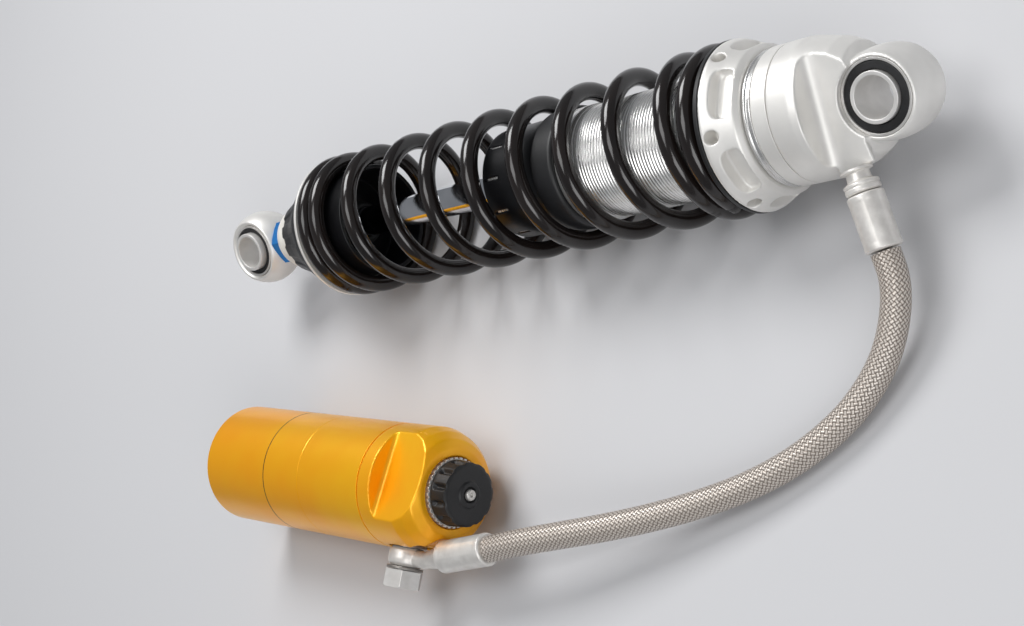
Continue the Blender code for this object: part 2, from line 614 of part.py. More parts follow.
def build_reservoir(bolt_axis, sleeve_axis):
    """Tube with its end cap and gas valve, the floating piston, and the head with its valve."""
    r = RESERVOIR_R
    turned("reservoir_tube", [
        (r, RESERVOIR_TUBE_L), (r, 0.0008), (r - 0.0008, 0.0), (RESERVOIR_BORE_R, 0.0),
        (RESERVOIR_BORE_R, RESERVOIR_TUBE_L),
    ], GOLD_ANODISED, RESERVOIR, 36)
    end_r = RESERVOIR_BORE_R - GAP
    turned("reservoir_end_cap", [
        (end_r, 0.0110), (end_r, 0.0030), (0.0060, 0.0030), (0.0060, 0.0070), (0.0030, 0.0070),
        (0.0030, 0.0110),
    ], BLACK_ANODISED, RESERVOIR)
    turned("gas_valve", [
        (0.0, 0.0066), (0.0056, 0.0066), (0.0056, 0.0020), (0.0, 0.0020),
    ], STEEL, RESERVOIR, 24)
    ring("end_cap_circlip", 0.0222, end_r, 0.0012, 0.0027, STEEL, RESERVOIR)
    floating_piston()
    ring("floating_piston_seal", 0.0225, end_r, 0.0643, 0.0697, SEAL_RUBBER, RESERVOIR)
    head = turned("reservoir_head", [
        (0.0154, HEAD_HIGH), (0.0185, HEAD_HIGH), (0.0225, HEAD_HIGH - 0.0020),
        (0.0255, HEAD_HIGH - 0.0060), (r, HEAD_HIGH - 0.0110), (r, HEAD_LOW), (RESERVOIR_BORE_R - GAP, HEAD_LOW),
        (RESERVOIR_BORE_R - GAP, HEAD_LOW - 0.0080), (0.0083, HEAD_LOW - 0.0080),
        (0.0083, HEAD_HIGH - 0.0020), (0.0154, HEAD_HIGH - 0.0020),
    ], GOLD_ANODISED, RESERVOIR, 36)
    flat = add_cutter(box_mesh("milled_flat", (0.0200, 0.0600, 0.0500)), RESERVOIR,
                      Matrix.Rotation(radians(-3.3), 4, "Z")
                      @ Matrix.Translation((-FLAT_FROM_AXIS - 0.0100, 0.0, HEAD_LOW + 0.0082 + 0.0250)))
    seat_r = WASHER_R + 0.0004
    spot = add_cutter(cylinder_mesh("spot_face", seat_r, 0.0100, 32), bolt_axis,
                      Matrix.Translation((0, 0, BANJO_SEAT_R + 0.0050)))
    seat_centre = (RESERVOIR.matrix_world.inverted() @ bolt_axis.matrix_world
                   @ Vector((0, 0, BANJO_SEAT_R + 0.0050)))
    channel_turn = Matrix.Rotation(BANJO_TILT, 4, "Z")
    channel = add_cutter(box_mesh("neck_channel", (2 * seat_r, 0.0100, 0.0400)), RESERVOIR,
                         Matrix.Translation(seat_centre + Vector((0, 0, 0.0200))) @ channel_turn)
    bolt_bore = add_cutter(cylinder_mesh("bolt_bore", BANJO_BORE_R, 0.0200, 24), bolt_axis,
                           Matrix.Translation((0, 0, 0.0175 + 0.0100)))
    scoop = add_cutter(cylinder_mesh("neck_scoop", SLEEVE_R + 0.0005, 0.0300, 24), sleeve_axis,
                       Matrix.Translation((0, 0, 0.0080)))
    cut(head, flat)
    cut(head, spot)
    cut(head, channel)
    cut(head, scoop)
    cut(head, bolt_bore)
    turned("compression_valve", [
        (0.0, HEAD_HIGH - 0.0024), (0.0080, HEAD_HIGH - 0.0024), (0.0080, HEAD_LOW - 0.0040),
        (0.0, HEAD_LOW - 0.0040),
    ], STEEL, RESERVOIR, 20)
    ring("detent_ring", 0.0100, 0.0150, HEAD_HIGH - 0.0017, HEAD_HIGH + 0.0008, STEEL, RESERVOIR)


def floating_piston():
    """A cup that keeps the gas from the oil, with a groove for its seal."""
    return turned("floating_piston", [
        (0.0, 0.0760), (0.0238, 0.0760), (0.0238, 0.0700), (0.0222, 0.0700), (0.0222, 0.0640),
        (0.0238, 0.0640), (0.0238, 0.0580), (0.0200, 0.0580), (0.0200, 0.0720), (0.0, 0.0720),
    ], CLEAR_ANODISED, RESERVOIR)


def build_compression_knob():
    """Fluted knob that turns on the reservoir's axis, and the small screw that holds it."""
    flutes = 12
    knob_r = 0.0141
    depth = 0.0010
    count = flutes * 6
    outline = []
    for i in range(count):
        angle = tau * i / count
        r = knob_r - depth * max(0.0, cos(flutes * angle)) ** 2
        outline.append((r * cos(angle), r * sin(angle)))
    low = HEAD_HIGH + 0.0011
    high = low + 0.0094
    outline_plate("compression_knob", outline, low, high, BLACK_PLASTIC, RESERVOIR)
    turned("knob_screw", [
        (0.0, high + 0.0012), (0.0020, high + 0.0012), (0.0024, high + 0.0008), (0.0024, high + GAP),
        (0.0, high + GAP),
    ], STEEL, RESERVOIR, 20)


build_damper_body()
build_head()
build_eye_bush("upper", UPPER_EYE, UPPER_BUSH_R, 0.0112)
build_eye_bush("lower", LOWER_EYE, LOWER_BUSH_R, 0.0098)
build_shaft()
build_lower_end()
build_lower_eye()
build_spring_and_preload()
build_hose()
build_reservoir(*build_banjo())
build_compression_knob()
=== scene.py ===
"""Motorcycle rear shock absorber with a remote reservoir, lying on a pale studio floor.

Everything is in metres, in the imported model's frame: the damper lies along X with its lower eye at -X,
the reservoir lies beside it at -Y, and z = 0 is the floor.  New pieces are grids of points worked out
with numpy: turned shapes about an axis, wires along a route, and a few machined shapes that are joined
from turned ones.
"""
import json

import bmesh
import bpy
import numpy as np
from mathutils import Matrix, Vector


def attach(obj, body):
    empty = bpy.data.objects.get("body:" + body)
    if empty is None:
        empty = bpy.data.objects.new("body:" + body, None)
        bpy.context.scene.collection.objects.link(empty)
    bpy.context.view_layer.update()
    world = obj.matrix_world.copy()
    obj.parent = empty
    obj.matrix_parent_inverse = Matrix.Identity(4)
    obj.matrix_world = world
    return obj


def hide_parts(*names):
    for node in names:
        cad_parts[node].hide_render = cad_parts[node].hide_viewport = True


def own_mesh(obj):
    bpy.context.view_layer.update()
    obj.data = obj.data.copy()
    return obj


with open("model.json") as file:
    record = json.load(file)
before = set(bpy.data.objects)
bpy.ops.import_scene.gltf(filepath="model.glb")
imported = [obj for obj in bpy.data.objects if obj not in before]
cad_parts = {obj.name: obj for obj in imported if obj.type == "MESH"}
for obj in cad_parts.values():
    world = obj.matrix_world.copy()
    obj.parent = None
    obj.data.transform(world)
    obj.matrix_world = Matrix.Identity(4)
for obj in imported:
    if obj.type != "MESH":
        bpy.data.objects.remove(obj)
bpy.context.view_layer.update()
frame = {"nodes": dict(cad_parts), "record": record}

TURN = 2 * np.pi
GAP = 0.0003


# ---------------------------------------------------------------- axes that the pieces are turned about
class Axis:
    """A straight axis: its start, its direction, and two directions square to it that angles go between."""

    def __init__(self, start, along, side):
        self.start = np.array(start, float)
        self.along = np.array(along, float) / np.linalg.norm(along)
        side = np.array(side, float) - np.dot(side, self.along) * self.along
        self.side = side / np.linalg.norm(side)
        self.up = np.cross(self.along, self.side)

    def points(self, station, radius, angle):
        """Points at a station along the axis, a radius from it, and an angle from side towards up."""
        station, radius, angle = np.broadcast_arrays(station, radius, angle)
        across = (np.cos(angle)[..., None] * self.side + np.sin(angle)[..., None] * self.up)
        return self.start + station[..., None] * self.along + radius[..., None] * across


AXIS_Y, AXIS_Z = 0.0700, 0.0339
EYE_TILT = np.radians(123)
EYE_BOLT = (0.0, np.cos(EYE_TILT), np.sin(EYE_TILT))
LOWER_EYE_X, UPPER_EYE_X = -0.1864, 0.1838
DAMPER = Axis((0.0, AXIS_Y, AXIS_Z), (1, 0, 0), (0, 1, 0))
UPPER_EYE = Axis((UPPER_EYE_X, AXIS_Y, AXIS_Z), EYE_BOLT, (1, 0, 0))
LOWER_EYE = Axis((LOWER_EYE_X, AXIS_Y, AXIS_Z), EYE_BOLT, (1, 0, 0))
HEADING = np.radians(-8.4)
RES_ALONG = np.array((np.cos(HEADING), np.sin(HEADING), 0.0))
RES_SIDE = np.array((-np.sin(HEADING), np.cos(HEADING), 0.0))
RESERVOIR = Axis((-0.1742, -0.0416, 0.0272), RES_ALONG, RES_SIDE)
PORT = Axis((0.1708, 0.0430, 0.0337), (0.19, -0.89, -0.415), (1, 0, 0))

# The hose's route between its crimp sleeves: down from the head, along the floor in one wide bend, and
# up again to the reservoir.
HOSE_ROUTE = np.array([
    (0.1767, 0.0152, 0.0208), (0.1782, 0.0072, 0.0171), (0.1777, -0.0010, 0.0140),
    (0.1751, -0.0110, 0.0110), (0.1707, -0.0206, 0.0086), (0.1643, -0.0298, 0.0070),
    (0.1563, -0.0384, 0.0061), (0.1465, -0.0462, 0.0058), (0.1354, -0.0531, 0.0058),
    (0.1234, -0.0591, 0.0064), (0.1103, -0.0643, 0.0076), (0.0962, -0.0687, 0.0094),
    (0.0821, -0.0725, 0.0116), (0.0677, -0.0758, 0.0142), (0.0531, -0.0787, 0.0170),
    (0.0380, -0.0812, 0.0198), (0.0224, -0.0836, 0.0224), (0.0090, -0.0856, 0.0240),
    (-0.0025, -0.0874, 0.0244),
])
HOSE_R = 0.0055


# ---------------------------------------------------------------- materials
def linear(hex_colour):
    """An sRGB hex colour as linear red, green, blue and 1."""
    channels = np.array([int(hex_colour[i:i + 2], 16) for i in (1, 3, 5)]) / 255
    channels = np.where(channels <= 0.04045, channels / 12.92, ((channels + 0.055) / 1.055) ** 2.4)
    return (*channels.tolist(), 1.0)


def add_node(tree, kind, settings=(), links=()):
    """A node of this kind, with its settings and its inputs' links from other nodes' outputs."""
    node = tree.nodes.new(kind)
    for key, value in dict(settings).items():
        if isinstance(key, str) and hasattr(node, key):
            setattr(node, key, value)
        else:
            node.inputs[key].default_value = value
    for key, output in dict(links).items():
        tree.links.new(output, node.inputs[key])
    return node


def colour_steps(ramp, steps):
    """Sets a colour ramp's stops from (position, hex colour) pairs."""
    stops = ramp.color_ramp.elements
    while len(stops) > 1:
        stops.remove(stops[-1])
    stops[0].position, stops[0].color = steps[0][0], linear(steps[0][1])
    for position, hex_colour in steps[1:]:
        stops.new(position).color = linear(hex_colour)


def start_material(name, **settings):
    """A new material with one Principled shader, whose plain sockets are set, and object coordinates."""
    material = bpy.data.materials.new(name)
    material.use_nodes = True
    tree = material.node_tree
    shader = tree.nodes["Principled BSDF"]
    for key, value in settings.items():
        shader.inputs[key.replace("_", " ")].default_value = value
    coordinates = add_node(tree, "ShaderNodeTexCoord")
    return material, tree, shader, coordinates.outputs["Object"]


def grained(name, dark, light, roughness, grain_mm, relief_mm, metallic=0.0, spread=0.08, cloud_mm=18.0,
            stretch=(1, 1, 1), turn=(0, 0, 0), distance=0.0001, **settings):
    """A finish whose colour drifts in soft clouds between two close tones, with a fine grain that moves
    the roughness and the surface.  grain_mm and cloud_mm are the real sizes of grain and cloud;
    stretch draws the grain out along an axis, as machining marks are."""
    material, tree, shader, place = start_material(name, Metallic=metallic, **settings)
    clouds = add_node(tree, "ShaderNodeTexNoise", {"Scale": 1000 / cloud_mm, "Detail": 3.0},
                      {"Vector": place})
    tone = add_node(tree, "ShaderNodeValToRGB", (), {"Fac": clouds.outputs["Fac"]})
    colour_steps(tone, [(0.3, dark), (0.7, light)])
    lie = add_node(tree, "ShaderNodeMapping", {"Scale": stretch, "Rotation": turn}, {"Vector": place})
    grain = add_node(tree, "ShaderNodeTexNoise", {"Scale": 1000 / grain_mm, "Detail": 2.0},
                     {"Vector": lie.outputs["Vector"]})
    rough = add_node(tree, "ShaderNodeMapRange", {"To Min": roughness - spread, "To Max": roughness + spread},
                     {"Value": grain.outputs["Fac"]})
    bump = add_node(tree, "ShaderNodeBump", {"Strength": relief_mm, "Distance": distance},
                    {"Height": grain.outputs["Fac"]})
    tree.links.new(tone.outputs["Color"], shader.inputs["Base Color"])
    tree.links.new(rough.outputs["Result"], shader.inputs["Roughness"])
    tree.links.new(bump.outputs["Normal"], shader.inputs["Normal"])
    return material


# Clear anodised aluminium, bead blasted first: near white, soft highlights, a grit of 0.15 mm drawn at
# 0.4 mm so that it shows.
BLASTED_ALUMINIUM = grained("clear_anodised_blasted_aluminium", "#E2E0DC", "#F0EEEA", 0.44, 0.4, 0.25,
                            metallic=0.45)
# Clear anodised aluminium, turned and left: brighter, with rings 0.25 mm apart round the damper's axis.
TURNED_ALUMINIUM = grained("clear_anodised_turned_aluminium", "#D9D8D6", "#EEEDEB", 0.27, 1.0, 0.30,
                           metallic=0.85, stretch=(4.0, 0.05, 0.05), cloud_mm=30.0)
# Plated crimp sleeves and fittings: drawn along their length, thin pale streaks.
DRAWN_STEEL = grained("zinc_plated_drawn_steel", "#D6D2CD", "#ECE9E4", 0.40, 0.9, 0.22, metallic=0.45,
                      cloud_mm=5.0, stretch=(1.0, 0.25, 0.5))
# Hard anodised aluminium, dyed black: a soft sheen over a 0.3 mm grain.
BLACK_ALUMINIUM = grained("hard_anodised_black_aluminium", "#0E0E10", "#17171A", 0.34, 0.3, 0.20,
                          metallic=0.35)
# Glass-filled nylon, moulded: satin black with a 0.5 mm texture from the mould.
MOULDED_NYLON = grained("moulded_black_nylon", "#131314", "#1D1D1F", 0.46, 0.5, 0.30)
# Gold dyed anodised aluminium, turned: rings about 0.3 mm apart round the reservoir's axis.
GOLD_ALUMINIUM = grained("gold_anodised_aluminium", "#FFAA00", "#FFBC0C", 0.32, 1.2, 0.22, metallic=0.40,
                         stretch=(4.0, 0.05, 0.05), turn=(0, 0, -HEADING), cloud_mm=40.0, spread=0.06,
                         Coat_Weight=0.15, Coat_Roughness=0.15)
# The same dye on the milled head, whose cutter marks lie every way.
GOLD_MILLED = grained("gold_anodised_milled_aluminium", "#FFAA00", "#FFBC0C", 0.34, 0.6, 0.18,
                      metallic=0.38, cloud_mm=25.0, spread=0.06, Coat_Weight=0.15, Coat_Roughness=0.15)
# Blue dyed anodised aluminium: the lock nut.
BLUE_ALUMINIUM = grained("blue_anodised_aluminium", "#1A72BE", "#2C88D4", 0.30, 0.5, 0.05, metallic=0.45)
# Powder coat on spring steel: brown black and glossy, with an orange peel of 1.6 mm.
SPRING_ENAMEL = grained("black_powder_coated_spring_steel", "#14100F", "#1E1816", 0.17, 1.6, 0.10,
                        spread=0.04, Coat_Weight=0.35, Coat_Roughness=0.07, Specular_IOR_Level=0.4)
# Hard chrome, ground and polished: a mirror with the faintest grinding rings.
CHROME = grained("ground_hard_chrome", "#D3D5D9", "#E6E7EA", 0.07, 0.8, 0.08, metallic=1.0, spread=0.03,
                 stretch=(3.0, 0.05, 0.05))
# Satin plated steel: the eyes' sleeves, pale and soft, with a 0.4 mm grit.
SATIN_STEEL = grained("satin_plated_steel", "#D8D6D3", "#E6E4E1", 0.42, 0.4, 0.08, metallic=0.5,
                      cloud_mm=8.0)
# Machined steel: washers and screws.
MACHINED_STEEL = grained("machined_plated_steel", "#CBC8C4", "#E0DEDB", 0.32, 0.35, 0.08, metallic=0.60,
                         cloud_mm=6.0)
DARK_STEEL = grained("dark_bonded_seal_washer", "#77736F", "#8D8985", 0.38, 0.3, 0.15, metallic=0.6)
# Natural rubber, moulded: nearly black, dull, with a fine bloom.
RUBBER = grained("moulded_rubber", "#0D0D0E", "#1B1B1D", 0.62, 0.4, 0.35, spread=0.10, cloud_mm=4.0)
SEAL_RUBBER = grained("nitrile_seal_rubber", "#2A1512", "#381C17", 0.50, 0.3, 0.20)
BRONZE = grained("sintered_bronze", "#9A7440", "#B58A50", 0.42, 0.25, 0.30, metallic=0.9)
# Cast acetal: the ivory collar beside the lock nut.
ACETAL = grained("white_acetal", "#DAD7D0", "#E9E6DF", 0.38, 0.4, 0.12, cloud_mm=9.0)
PTFE = grained("filled_ptfe", "#5B5F4B", "#6D715A", 0.50, 0.4, 0.20)
PRINT = grained("black_screen_print", "#1B130A", "#251A10", 0.45, 0.3, 0.10)


def braided_cover():
    """Braided stainless wire under a clear sleeve.  Two families of flat strands cross at 45 degrees,
    each a bundle of wires 2 mm wide, as on the real hose.  They pass over and under
    like a chequerboard: on every other square the strand of one family lies on top, its height half a
    sine wave across its width.  The colour follows that height: painted shade darkens the gaps between
    strands and a painted highlight lightens their crowns.  The surface's own map gives the
    distance along the hose and round it, both in strands."""
    material, tree, shader, _ = start_material("braided_stainless_hose", Metallic=0.30, Coat_Weight=0.25,
                                               Coat_Roughness=0.22)
    own = add_node(tree, "ShaderNodeUVMap", {"uv_map": "strands"})
    parts = add_node(tree, "ShaderNodeSeparateXYZ", (), {"Vector": own.outputs["UV"]})
    along, around = parts.outputs["X"], parts.outputs["Y"]
    ridges, squares = [], []
    for operation in ("ADD", "SUBTRACT"):
        lean = add_node(tree, "ShaderNodeMath", {"operation": operation}, {0: along, 1: around})
        scaled = add_node(tree, "ShaderNodeMath", {"operation": "MULTIPLY", 1: float(np.pi)},
                          {0: lean.outputs["Value"]})
        wave = add_node(tree, "ShaderNodeMath", {"operation": "SINE"}, {0: scaled.outputs["Value"]})
        ridges.append(add_node(tree, "ShaderNodeMath", {"operation": "ABSOLUTE"},
                               {0: wave.outputs["Value"]}).outputs["Value"])
        squares.append(add_node(tree, "ShaderNodeMath", {"operation": "FLOOR"},
                                {0: lean.outputs["Value"]}).outputs["Value"])
    both = add_node(tree, "ShaderNodeMath", {"operation": "ADD"}, {0: squares[0], 1: squares[1]})
    half = add_node(tree, "ShaderNodeMath", {"operation": "MULTIPLY", 1: 0.5}, {0: both.outputs["Value"]})
    share = add_node(tree, "ShaderNodeMath", {"operation": "FRACT"}, {0: half.outputs["Value"]})
    turn_over = add_node(tree, "ShaderNodeMath", {"operation": "MULTIPLY", 1: 2.0},
                         {0: share.outputs["Value"]})
    crossed = add_node(tree, "ShaderNodeMix", {"data_type": "FLOAT"},
                       {0: turn_over.outputs["Value"], 2: ridges[0], 3: ridges[1]})
    height = add_node(tree, "ShaderNodeMapRange", (), {"Value": crossed.outputs[0]})
    # The ramp is painted light: its dark end is painted shade in the gaps between strands, its pale end a
    # painted highlight on their crowns.
    tone = add_node(tree, "ShaderNodeValToRGB", (), {"Fac": height.outputs["Result"]})
    colour_steps(tone, [(0.05, "#4E443C"), (0.50, "#9C9085"), (0.95, "#D6CDC4")])
    bump = add_node(tree, "ShaderNodeBump", {"Strength": 0.55, "Distance": 0.0004},
                    {"Height": height.outputs["Result"]})
    rough = add_node(tree, "ShaderNodeMapRange", {"To Min": 0.48, "To Max": 0.30},
                     {"Value": height.outputs["Result"]})
    tree.links.new(tone.outputs["Color"], shader.inputs["Base Color"])
    tree.links.new(bump.outputs["Normal"], shader.inputs["Normal"])
    tree.links.new(rough.outputs["Result"], shader.inputs["Roughness"])
    return material


BRAID = braided_cover()
SLOT_FINISH = {
    "clear_anodised": BLASTED_ALUMINIUM, "black_anodised": BLACK_ALUMINIUM, "gold_anodised": GOLD_MILLED,
    "blue_anodised": BLUE_ALUMINIUM, "spring_enamel": SPRING_ENAMEL, "chrome": CHROME,
    "steel": MACHINED_STEEL, "bronze": BRONZE, "rubber": RUBBER, "seal_rubber": SEAL_RUBBER,
    "black_plastic": MOULDED_NYLON, "ptfe": PTFE, "braid": BRAID,
}


# ---------------------------------------------------------------- grids of points into pieces
def stand(name, mesh):
    """An object for a mesh, a camera or a light, put in the scene at the origin."""
    piece = bpy.data.objects.new(name, mesh)
    bpy.context.scene.collection.objects.link(piece)
    return piece


def face_outwards(mesh, merge=None):
    """Merges doubles closer than this distance, if there is one, and turns all faces outwards."""
    body = bmesh.new()
    body.from_mesh(mesh)
    if merge:
        bmesh.ops.remove_doubles(body, verts=body.verts, dist=merge)
    bmesh.ops.recalc_face_normals(body, faces=body.faces)
    body.to_mesh(mesh)
    body.free()


def skin(name, grid, finish, wrap_rows=False, wrap_columns=True, strands=None):
    """A mesh through a grid of points.  Rows or columns wrap round to close the surface, poles and
    seams are merged, and faces are turned outwards.  strands, one pair for each corner of the
    unwrapped grid, becomes the piece's own map."""
    rows, columns = grid.shape[:2]
    index = np.arange(rows * columns).reshape(rows, columns)
    if wrap_rows:
        index = np.vstack([index, index[:1]])
    if wrap_columns:
        index = np.hstack([index, index[:, :1]])
    quads = np.stack([index[:-1, :-1], index[1:, :-1], index[1:, 1:], index[:-1, 1:]], -1).reshape(-1, 4)
    mesh = bpy.data.meshes.new(name)
    mesh.from_pydata(grid.reshape(-1, 3), [], quads)
    if strands is not None:
        corners = np.stack([strands[:-1, :-1], strands[1:, :-1], strands[1:, 1:], strands[:-1, 1:]], 2)
        mesh.uv_layers.new(name="strands").data.foreach_set("uv", corners.reshape(-1).astype(np.float32))
    face_outwards(mesh, merge=1e-7)
    mesh.shade_smooth()
    mesh.materials.append(finish)
    return stand(name, mesh)


def rounded(corners, reach, ring=True, steps=4):
    """A profile with its corners rounded off: each corner becomes a short parabola that starts and ends
    reach away from it, with a point a little further out so that the flat beside it stays flat.  A
    point on a straight or nearly straight run stays as it is."""
    corners = np.array(corners, float)
    count = len(corners)
    points = []
    for i, corner in enumerate(corners):
        before, after = corners[i - 1] - corner, corners[(i + 1) % count] - corner
        run_in, run_out = np.linalg.norm(before), np.linalg.norm(after)
        if (not ring and i in (0, count - 1)) or np.dot(before, after) < -0.99 * run_in * run_out:
            points.append(corner)
            continue
        size = min(reach, 0.42 * run_in, 0.42 * run_out)
        start = corner + size * before / run_in
        end = corner + size * after / run_out
        points.append(corner + 1.15 * (start - corner))
        for t in np.linspace(0, 1, steps + 1):
            points.append((1 - t) ** 2 * start + 2 * t * (1 - t) * corner + t * t * end)
        points.append(corner + 1.15 * (end - corner))
    return np.array(points)


def turned(name, corners, finish, axis=DAMPER, edge=0.0003, steps=112, shape=None):
    """A turned piece: a profile of (radius, station) corners, rounded off and swept round the axis.  A
    profile that starts on the axis is a solid, any other is closed into a ring.  shape(radius,
    station, angle), where there is one, gives the radius that the tool leaves at each angle."""
    solid = corners[0][0] == 0.0
    profile = rounded(corners, edge, ring=not solid)
    radius, station = profile[:, :1], profile[:, 1:]
    angle = np.linspace(0, TURN, steps, endpoint=False)[None, :]
    if shape is not None:
        radius = shape(radius + 0 * angle, station + 0 * angle, angle + 0 * radius)
    return skin(name, axis.points(station, radius, angle), finish, wrap_rows=not solid)


def slab(name, axis, low, high, half_side, half_up, side=0.0, up=0.0, twist=0.0):
    """A plain block to cut with, between two stations, centred at side and up after a twist about the
    axis."""
    across, over = (np.cos(twist) * axis.side + np.sin(twist) * axis.up,
                    np.cos(twist) * axis.up - np.sin(twist) * axis.side)
    corners = [axis.start + s * axis.along + (side + a * half_side) * across + (up + b * half_up) * over
               for s in (low, high) for a, b in ((-1, -1), (1, -1), (1, 1), (-1, 1))]
    mesh = bpy.data.meshes.new(name)
    mesh.from_pydata(corners, [], [(0, 1, 2, 3), (4, 7, 6, 5), (0, 4, 5, 1), (1, 5, 6, 2), (2, 6, 7, 3),
                                   (3, 7, 4, 0)])
    face_outwards(mesh)
    return stand(name, mesh)


def machined(name, base, joined, removed, grain, passes, finish):
    """A machined or forged piece: solids joined and others taken away, then the whole surface drawn
    again on a fine lattice and eased, which leaves the small fillets that a cutter and a blasting
    cabinet leave.  grain is the lattice's size, passes how far the edges are eased."""
    for tool, operation in [(t, "UNION") for t in joined] + [(t, "DIFFERENCE") for t in removed]:
        step = base.modifiers.new(tool.name, "BOOLEAN")
        step.operation, step.solver, step.object = operation, "EXACT", tool
    lattice = base.modifiers.new("lattice", "REMESH")
    lattice.mode, lattice.voxel_size, lattice.use_smooth_shade = "VOXEL", grain, True
    ease = base.modifiers.new("ease", "SMOOTH")
    ease.factor, ease.iterations = 0.5, passes
    bpy.context.view_layer.update()
    shown = base.evaluated_get(bpy.context.evaluated_depsgraph_get())
    mesh = bpy.data.meshes.new_from_object(shown)
    mesh.name = name
    mesh.materials.clear()
    mesh.materials.append(finish)
    mesh.shade_smooth()
    for helper in [base, *joined, *removed]:
        bpy.data.objects.remove(helper)
    return stand(name, mesh)


def place(piece, body, *nodes):
    """The piece rides on a body and is shown instead of these nodes."""
    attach(piece, body)
    if nodes:
        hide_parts(*nodes)
    return piece


def spline(points, per_span):
    """A smooth curve through points: Catmull-Rom cubics, with mirrored points beyond both ends."""
    points = np.vstack([2 * points[0] - points[1], points, 2 * points[-1] - points[-2]])
    p0, p1, p2, p3 = (points[i:len(points) - 3 + i, None, :] for i in range(4))
    t = np.linspace(0, 1, per_span, endpoint=False)[None, :, None]
    curve = 0.5 * (2 * p1 + (p2 - p0) * t + (2 * p0 - 5 * p1 + 4 * p2 - p3) * t ** 2
                   + (3 * p1 - p0 - 3 * p2 + p3) * t ** 3)
    return np.vstack([curve.reshape(-1, 3), points[-2]])


def pipe(name, route, radius, finish, sides, strand=None, part=slice(None), ground_x=None):
    """A round wire along a route: at each point a circle square to the route.  part is the share of
    the route that this piece takes.  The ends are flat discs, with a ring 0.02 mm behind each so that
    the shading stays straight up to them.  strand is the width of one strand of braid, for the piece's
    own map, and ground_x the plane that the wire is ground flat to, as a spring's end is."""
    ahead = np.gradient(route, axis=0)
    ahead /= np.linalg.norm(ahead, axis=1)[:, None]
    side = np.cross(ahead, (0.0, 0.0, 1.0))
    side /= np.linalg.norm(side, axis=1)[:, None]
    over = np.cross(side, ahead)
    angle = np.linspace(0, TURN, sides, endpoint=False)
    circle = np.cos(angle)[None, :, None] * side[:, None] + np.sin(angle)[None, :, None] * over[:, None]
    grid = (route[:, None, :] + radius * circle)[part]
    route, ahead = route[part], ahead[part]
    cap_low, cap_high = np.repeat(route[:1, None, :], sides, 1), np.repeat(route[-1:, None, :], sides, 1)
    grid = np.vstack([cap_low, grid[:1], grid[:1] + 2e-5 * ahead[0], grid[1:-1],
                      grid[-1:] - 2e-5 * ahead[-1], grid[-1:], cap_high])
    if ground_x is not None:
        grid[..., 0] = np.maximum(grid[..., 0], ground_x)
    strands = None
    if strand is not None:
        run = np.concatenate([[0.0], np.cumsum(np.linalg.norm(np.diff(route, axis=0), axis=1))])
        run = np.concatenate([run[:1], run[:1], run[:-1], run[-1:], run[-1:], run[-1:]]) / strand
        turns = round(TURN * radius / strand / 2) * 2
        around = np.linspace(0, turns, sides + 1)
        strands = np.stack(np.broadcast_arrays(run[:, None], around[None, :]), -1)
    return skin(name, grid, finish, strands=strands)


# ---------------------------------------------------------------- camera, floor and light
LENS_MM, SENSOR_MM = 59.67, 36.0
CAMERA_PLACE = (0.50475, -0.19388, 0.49290)
CAMERA_RIGHT, CAMERA_UP = (0.69675, 0.12780, -0.70584), (0.12045, 0.94919, 0.29075)


def add_camera():
    """A 60 mm lens, 0.7 m away, looking down on the object past its upper eye."""
    data = bpy.data.cameras.new("camera")
    data.lens, data.sensor_width = LENS_MM, SENSOR_MM
    right = Vector(CAMERA_RIGHT)
    back = right.cross(Vector(CAMERA_UP)).normalized()
    up = back.cross(right).normalized()
    turn = Matrix((right.normalized(), up, back)).transposed().to_4x4()
    camera = stand("camera", data)
    camera.matrix_world = Matrix.Translation(CAMERA_PLACE) @ turn
    bpy.context.scene.camera = camera


def add_floor():
    """A pale floor 12 m across."""
    mesh = bpy.data.meshes.new("studio_floor")
    mesh.from_pydata([(-6, -6, 0), (6, -6, 0), (6, 6, 0), (-6, 6, 0)], [], [(0, 1, 2, 3)])
    material = start_material("pale_floor", Roughness=0.75, Base_Color=linear("#C9C9CB"))[0]
    mesh.materials.append(material)
    stand("studio_floor", mesh)


def add_light(name, place_m, aim, size, watts, colour="#FFFFFF"):
    """A square soft box of this size, aimed at a point."""
    data = bpy.data.lights.new(name, "AREA")
    data.size, data.energy, data.color = size, watts, linear(colour)[:3]
    lamp = stand(name, data)
    lamp.location = place_m
    lamp.rotation_euler = (Vector(aim) - Vector(place_m)).to_track_quat("-Z", "Y").to_euler()


add_camera()
add_floor()
add_light("key_box", (-0.35, 0.75, 1.05), (0.0, 0.05, 0.02), 0.6, 11.5)
add_light("fill_box", (0.95, -0.75, 0.70), (0.05, 0.0, 0.02), 0.7, 6.0)
add_light("top_box", (0.10, -0.05, 1.30), (0.05, 0.0, 0.0), 0.7, 5.6)
bpy.context.scene.view_settings.view_transform = "Standard"
world = bpy.data.worlds.new("studio")
bpy.context.scene.world = world
world.use_nodes = True
world.node_tree.nodes["Background"].inputs["Color"].default_value = linear("#E8ECF2")
world.node_tree.nodes["Background"].inputs["Strength"].default_value = 0.26


# ---------------------------------------------------------------- hose
def add_hose():
    route = spline(HOSE_ROUTE, 8)
    hose = pipe("braided_hose", route, HOSE_R, BRAID, 40, strand=0.0020)
    place(hose, "damper_body", "hose")


add_hose()


def between(station, low, high, rise, fall):
    """1 between two stations and 0 outside them, with straight ramps just inside either end."""
    return np.clip((station - low) / rise, 0, 1) * np.clip((high - station) / fall, 0, 1)


# ---------------------------------------------------------------- damper body
THREAD_PITCH = 0.0015
BODY_R = 0.0237
TUBE_LOW, TUBE_HIGH = 0.0276, 0.1600


